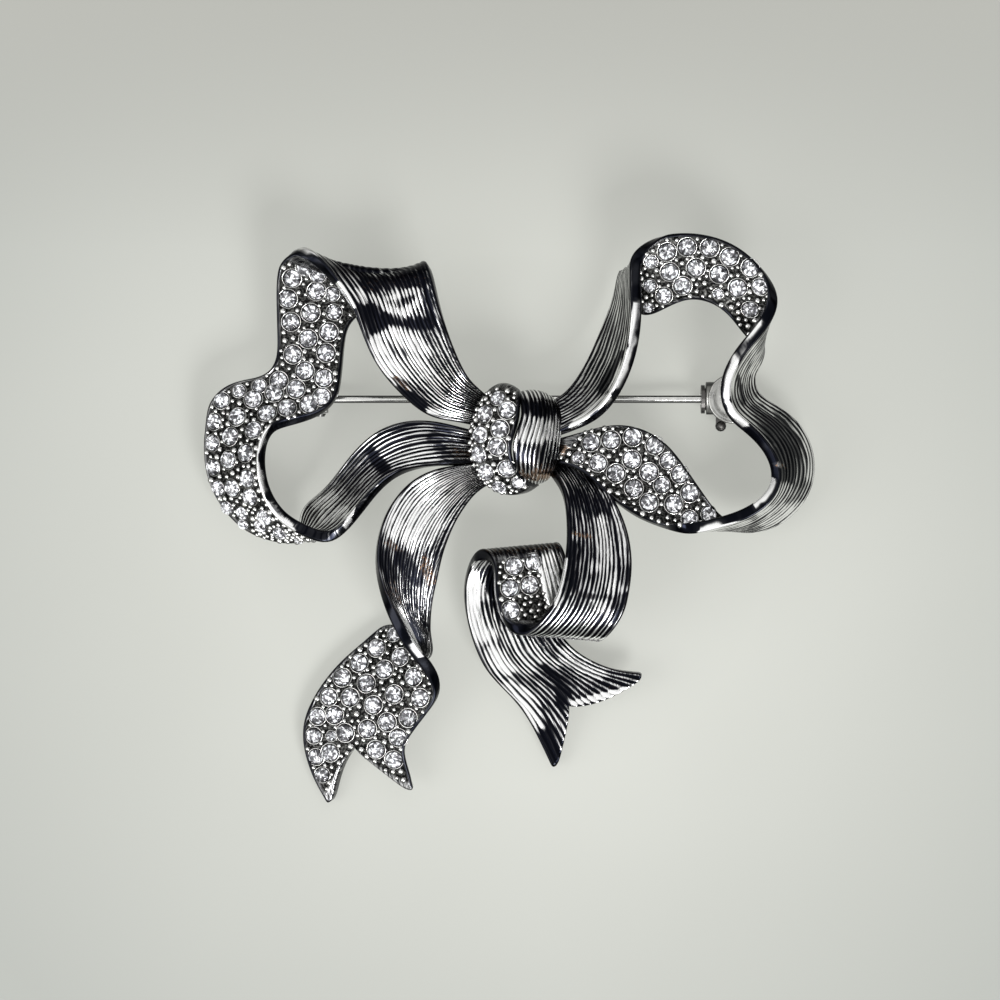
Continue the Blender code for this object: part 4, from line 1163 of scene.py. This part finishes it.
def lathe(name, middle, axis, profile, sides, body, ring=False):
    """A round piece about an axis from pairs of place along it and radius, in millimetres."""
    first = "xyz".index(axis)
    ways = np.eye(3)[[first, (first + 1) % 3, (first + 2) % 3]]
    points = []
    for along, radius in profile:
        for x, y, z in circle(radius, sides, along):
            points.append(middle + (z * ways[0] + x * ways[1] + y * ways[2]) * MM)
    count = len(profile)
    faces = band(count, sides, ring)
    if not ring:
        faces.append(tuple(reversed(range(sides))))
        faces.append(tuple((count - 1) * sides + k for k in range(sides)))
    return mesh_piece(name, points, faces, body)


def prism(name, outline, low, high, hole=()):
    """A plate in the X-Z plane between two Y places, in millimetres from the middle of the hinge."""
    bm = bmesh.new()
    first, second = [[bm.verts.new((x, y, z)) for x, z in outline] for y in (low, high)]
    near, far = [[bm.verts.new((x, y, z)) for x, z in hole] for y in (low, high)]
    pairs = [(k, (k + 1) % len(outline)) for k in range(len(outline))]
    if not hole:
        bm.faces.new(first)
        bm.faces.new(reversed(second))
    for k, after in pairs if hole else ():
        bm.faces.new((first[k], first[after], near[after], near[k]))
        bm.faces.new((second[after], second[k], far[k], far[after]))
        bm.faces.new((near[k], near[after], far[after], far[k]))
    for k, after in pairs:
        bm.faces.new((first[after], first[k], second[k], second[after]))
    bmesh.ops.recalc_face_normals(bm, faces=bm.faces)
    sharp = [edge for edge in bm.edges if edge.calc_face_angle(0) > 1.2]
    bmesh.ops.bevel(bm, geom=sharp, offset=0.09, segments=2, profile=0.7, affect="EDGES")
    mesh = bpy.data.meshes.new(name)
    bm.to_mesh(mesh)
    bm.free()
    return add_object(name, mesh)


def pin_piece():
    """The wire of the pin: a smooth stem that tapers to its point, and a flat eye round the rivet."""
    length = PIN_POINT - HINGE_AT[0] / MM
    stem = [(0.85, 0.36), (0.95, PIN_RADIUS)]
    stem += [(along, PIN_RADIUS) for along in np.linspace(1.5, 43.0, 12) if along < length - PIN_TIP]
    stem += [(length - PIN_TIP * (1 - k / 8), PIN_RADIUS - 0.315 * (k / 8) ** 1.3) for k in range(8)]
    stem += [(length - 0.08, 0.10), (length, 0.03)]
    wire = lathe("pin_wire", HINGE_AT, "x", stem, 24, "pin")
    rim = [(-0.6, 0.52), (-0.6, 0.98), (-0.53, 1.05), (0.53, 1.05), (0.6, 0.98), (0.6, 0.52)]
    rim += [(0.55, 0.48), (-0.55, 0.48)]
    eye = lathe("pin_eye", HINGE_AT, "y", rim, 32, "pin", ring=True)
    return [wire, eye]


def place_fitting(item, middle, body):
    """Put a piece made in millimetres at its place, and let it ride."""
    item.data.transform(Matrix.Translation(Vector(middle)) @ Matrix.Scale(MM, 4))
    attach(item, body)


def hinge_bracket():
    """Two ears with holes under a block on the back of the left loop."""
    turns = sorted([k * 15 for k in range(24)] + EAR_CORNERS)
    outline = []
    hole = []
    for turn in turns:
        x, z = math.cos(math.radians(turn)), math.sin(math.radians(turn))
        reach = min((EAR_FRONT if x > 0 else EAR_BACK) / max(abs(x), 1e-6), EAR_FOOT / max(abs(z), 1e-6))
        outline.append((x * reach, z * reach))
        hole.append((EAR_HOLE * x, EAR_HOLE * z))
    pieces = []
    for number, (low, high) in enumerate(((-EAR_OUTSIDE, -EAR_INSIDE), (EAR_INSIDE, EAR_OUTSIDE))):
        pieces.append(prism(f"hinge_ear_{number + 1}", outline, low, high, hole))
    top = [(-EAR_BACK, BLOCK_FROM), (EAR_FRONT, BLOCK_FROM), (EAR_FRONT, BLOCK_TO), (-EAR_BACK, BLOCK_TO)]
    pieces.append(prism("hinge_block", top, -EAR_OUTSIDE, EAR_OUTSIDE))
    for piece in pieces:
        place_fitting(piece, HINGE_AT, "bow")
    return pieces


def catch_base():
    """The round pad on the back of the right loop and the open housing under it."""
    radii = np.linspace(PAD_RADIUS, 0, 40)[1:-1]
    face = []
    for r in radii[::-1]:
        ripple = 0.5 + 0.5 * math.cos(8 * r)
        face.append((-0.4 - 0.03 * ripple * (0.3 < r < PAD_RADIUS - 0.3), r))
    rim = [(-0.34, PAD_RADIUS - 0.04), (-0.2, PAD_RADIUS), (0.2, PAD_RADIUS), (0.34, PAD_RADIUS - 0.04)]
    back = []
    for r in radii:
        ripple = 0.5 + 0.5 * math.cos(7 * r)
        back.append((0.4 - 0.05 * ripple * (r < PAD_RADIUS - 0.3), r))
    pad = lathe("catch_pad", PAD_AT, "z", face + rim + back, 56, "bow")
    steps = 40
    turns = np.radians(np.linspace(HOUSING_FROM, HOUSING_TO, steps))
    section = [(LIP_IN, turns[0]), (LIP_OUT, turns[0])]
    section += [(HOUSING_OUT, turn) for turn in turns[1:-1]]
    section += [(LIP_OUT, turns[-1]), (LIP_IN, turns[-1])]
    section += [(HOUSING_IN, turn) for turn in turns[1:-1][::-1]]
    count = len(section)
    points = []
    for x, shrink in ((-1.45, 0.05), (-1.40, 0.0), (1.40, 0.0), (1.45, 0.05)):
        for radius, turn in section:
            reach = radius + (shrink if radius <= LIP_IN else -shrink)
            offset = (x, -reach * math.cos(turn), -reach * math.sin(turn))
            points.append(CATCH_AT + np.array(offset) * MM)
    faces = band(4, count)
    for start, turn_over in ((0, True), (3 * count, False)):
        outer = [start + 1 + k for k in range(steps)]
        inner = [start] + [start + count - 1 - k for k in range(steps - 1)]
        for k in range(steps - 1):
            cap = (outer[k], outer[k + 1], inner[k + 1], inner[k])
            faces.append(cap[::-1] if turn_over else cap)
    housing = mesh_piece("catch_housing", points, faces)
    return [pad, housing]


RIBBON_METAL = new_material("engraved_silver", ribbon_metal)
GRAIN_METAL = bright_metal("grain_silver", (0.70, 0.70, 0.69), 0.14, 2500.0, 0.34, 0.52)
STEEL = bright_metal("pin_steel", (0.86, 0.86, 0.84), 0.12, 1500.0, 0.10, 0.34)
FITTING = bright_metal("fitting_silver", (0.50, 0.50, 0.48), 0.25, 900.0)
SLEEVE_METAL = bright_metal("sleeve_silver", (0.14, 0.135, 0.13), 0.25, 900.0)
CRYSTAL = new_material("clear_crystal", crystal)
FOIL = new_material("stone_foil", foil)

for number, name in enumerate(RIBBONS):
    piece = ribbon_piece(name, 20 + 10 * number)
    piece.data.materials.append(RIBBON_METAL)
    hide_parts("bow_casting")

for number, (name, field) in enumerate(FIELDS.items()):
    stone_field(name, field, 300 + number)

for piece in hinge_bracket() + catch_base():
    piece.data.materials.append(FITTING)
    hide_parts("bow_casting")

for piece in pin_piece():
    piece.data.materials.append(STEEL)
    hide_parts("pin_stem")

for name, material in (("hinge_rivet", STEEL), ("catch_sleeve", SLEEVE_METAL)):
    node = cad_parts[name]
    node.data.materials.clear()
    node.data.materials.append(material)


def floor_paper(tree):
    """Pale paper with painted shade, a little darker far from the brooch and behind it, and a painted glow.
    """
    cloud = noise(tree, 18.0, 2.0)
    tone = ramp(tree, cloud, ((0.35, (0.166, 0.169, 0.156)), (0.65, (0.176, 0.179, 0.166))))
    spot = add(tree, "TexCoord", {}).outputs["Object"]
    far = add(tree, "VectorMath", {0: spot}, operation="LENGTH").outputs["Value"]
    behind = add(tree, "SeparateXYZ", {"Vector": spot}).outputs["Y"]
    # Painted shade: the paper darkens far from the brooch and behind it, as the light falls off.
    for value, wide, darkest in ((far, 75, (0.126, 0.130, 0.121)), (behind, 58, (0.126, 0.127, 0.117))):
        tone = mixed(tree, ranged(tree, value, 30 * MM, wide * MM), tone, darkest)
    # The floor glows with its own colour, a painted light that makes the shadows round the brooch fainter.
    return {"Base Color": tone, "Roughness": 0.8, "Emission Color": tone, "Emission Strength": 2.2}


def add_floor():
    """A wide pale floor under the brooch."""
    mesh = bpy.data.meshes.new("floor")
    mesh.from_pydata([(-1, -1, 0), (1, -1, 0), (1, 1, 0), (-1, 1, 0)], [], [(0, 1, 2, 3)])
    floor = add_object("floor", mesh)
    floor.location.z = -0.05 * MM
    mesh.materials.append(new_material("floor_paper", floor_paper))


def add_world():
    """A soft light tent with a dark middle and a few darker sides."""
    world = bpy.data.worlds.new("studio")
    bpy.context.scene.world = world
    world.use_nodes = True
    tree = world.node_tree
    direction = add(tree, "TexCoord", {}).outputs["Generated"]
    upward = add(tree, "SeparateXYZ", {"Vector": direction}).outputs["Z"]
    below, level = (0.25, 0.25, 0.24), (0.55, 0.55, 0.54)
    high, over = (1.0, 1.0, 0.98), (1.0, 1.0, 0.99)
    height = ramp(tree, upward, ((0.0, below), (0.5, level), (0.7, high), (0.9, over), (1.0, 0.8)))
    patches = noise(tree, 2.2, 1.0, direction)
    contrast = ramp(tree, patches, ((0.38, (0.05, 0.05, 0.06)), (0.46, 1.0)))
    colour = mixed(tree, 1.0, height, contrast, "MULTIPLY")
    feed(tree, tree.nodes["Background"], {"Color": colour, "Strength": 1.1})


def add_lamp(name, place, size, power):
    """A square soft light that faces the brooch."""
    data = bpy.data.lights.new(name, "AREA")
    data.size = size
    data.energy = power
    lamp = add_object(name, data)
    lamp.location = place
    lamp.rotation_euler = (-Vector(place)).to_track_quat("-Z", "Y").to_euler()


def add_camera():
    """The photo's view: straight down, from far."""
    data = bpy.data.cameras.new("camera")
    data.lens = VIEW_LENS
    data.sensor_width = SENSOR
    data.clip_start = 0.02
    camera = add_object("camera", data)
    camera.location = (VIEW_X, VIEW_Y, VIEW_HEIGHT)
    bpy.context.scene.camera = camera


add_floor()
add_world()
add_lamp("key", (0.20, -0.36, 0.40), 0.22, 3.4)
add_lamp("fill", (-0.33, -0.12, 0.3), 0.3, 1.2)
add_camera()
bpy.context.scene.view_settings.view_transform = "Standard"
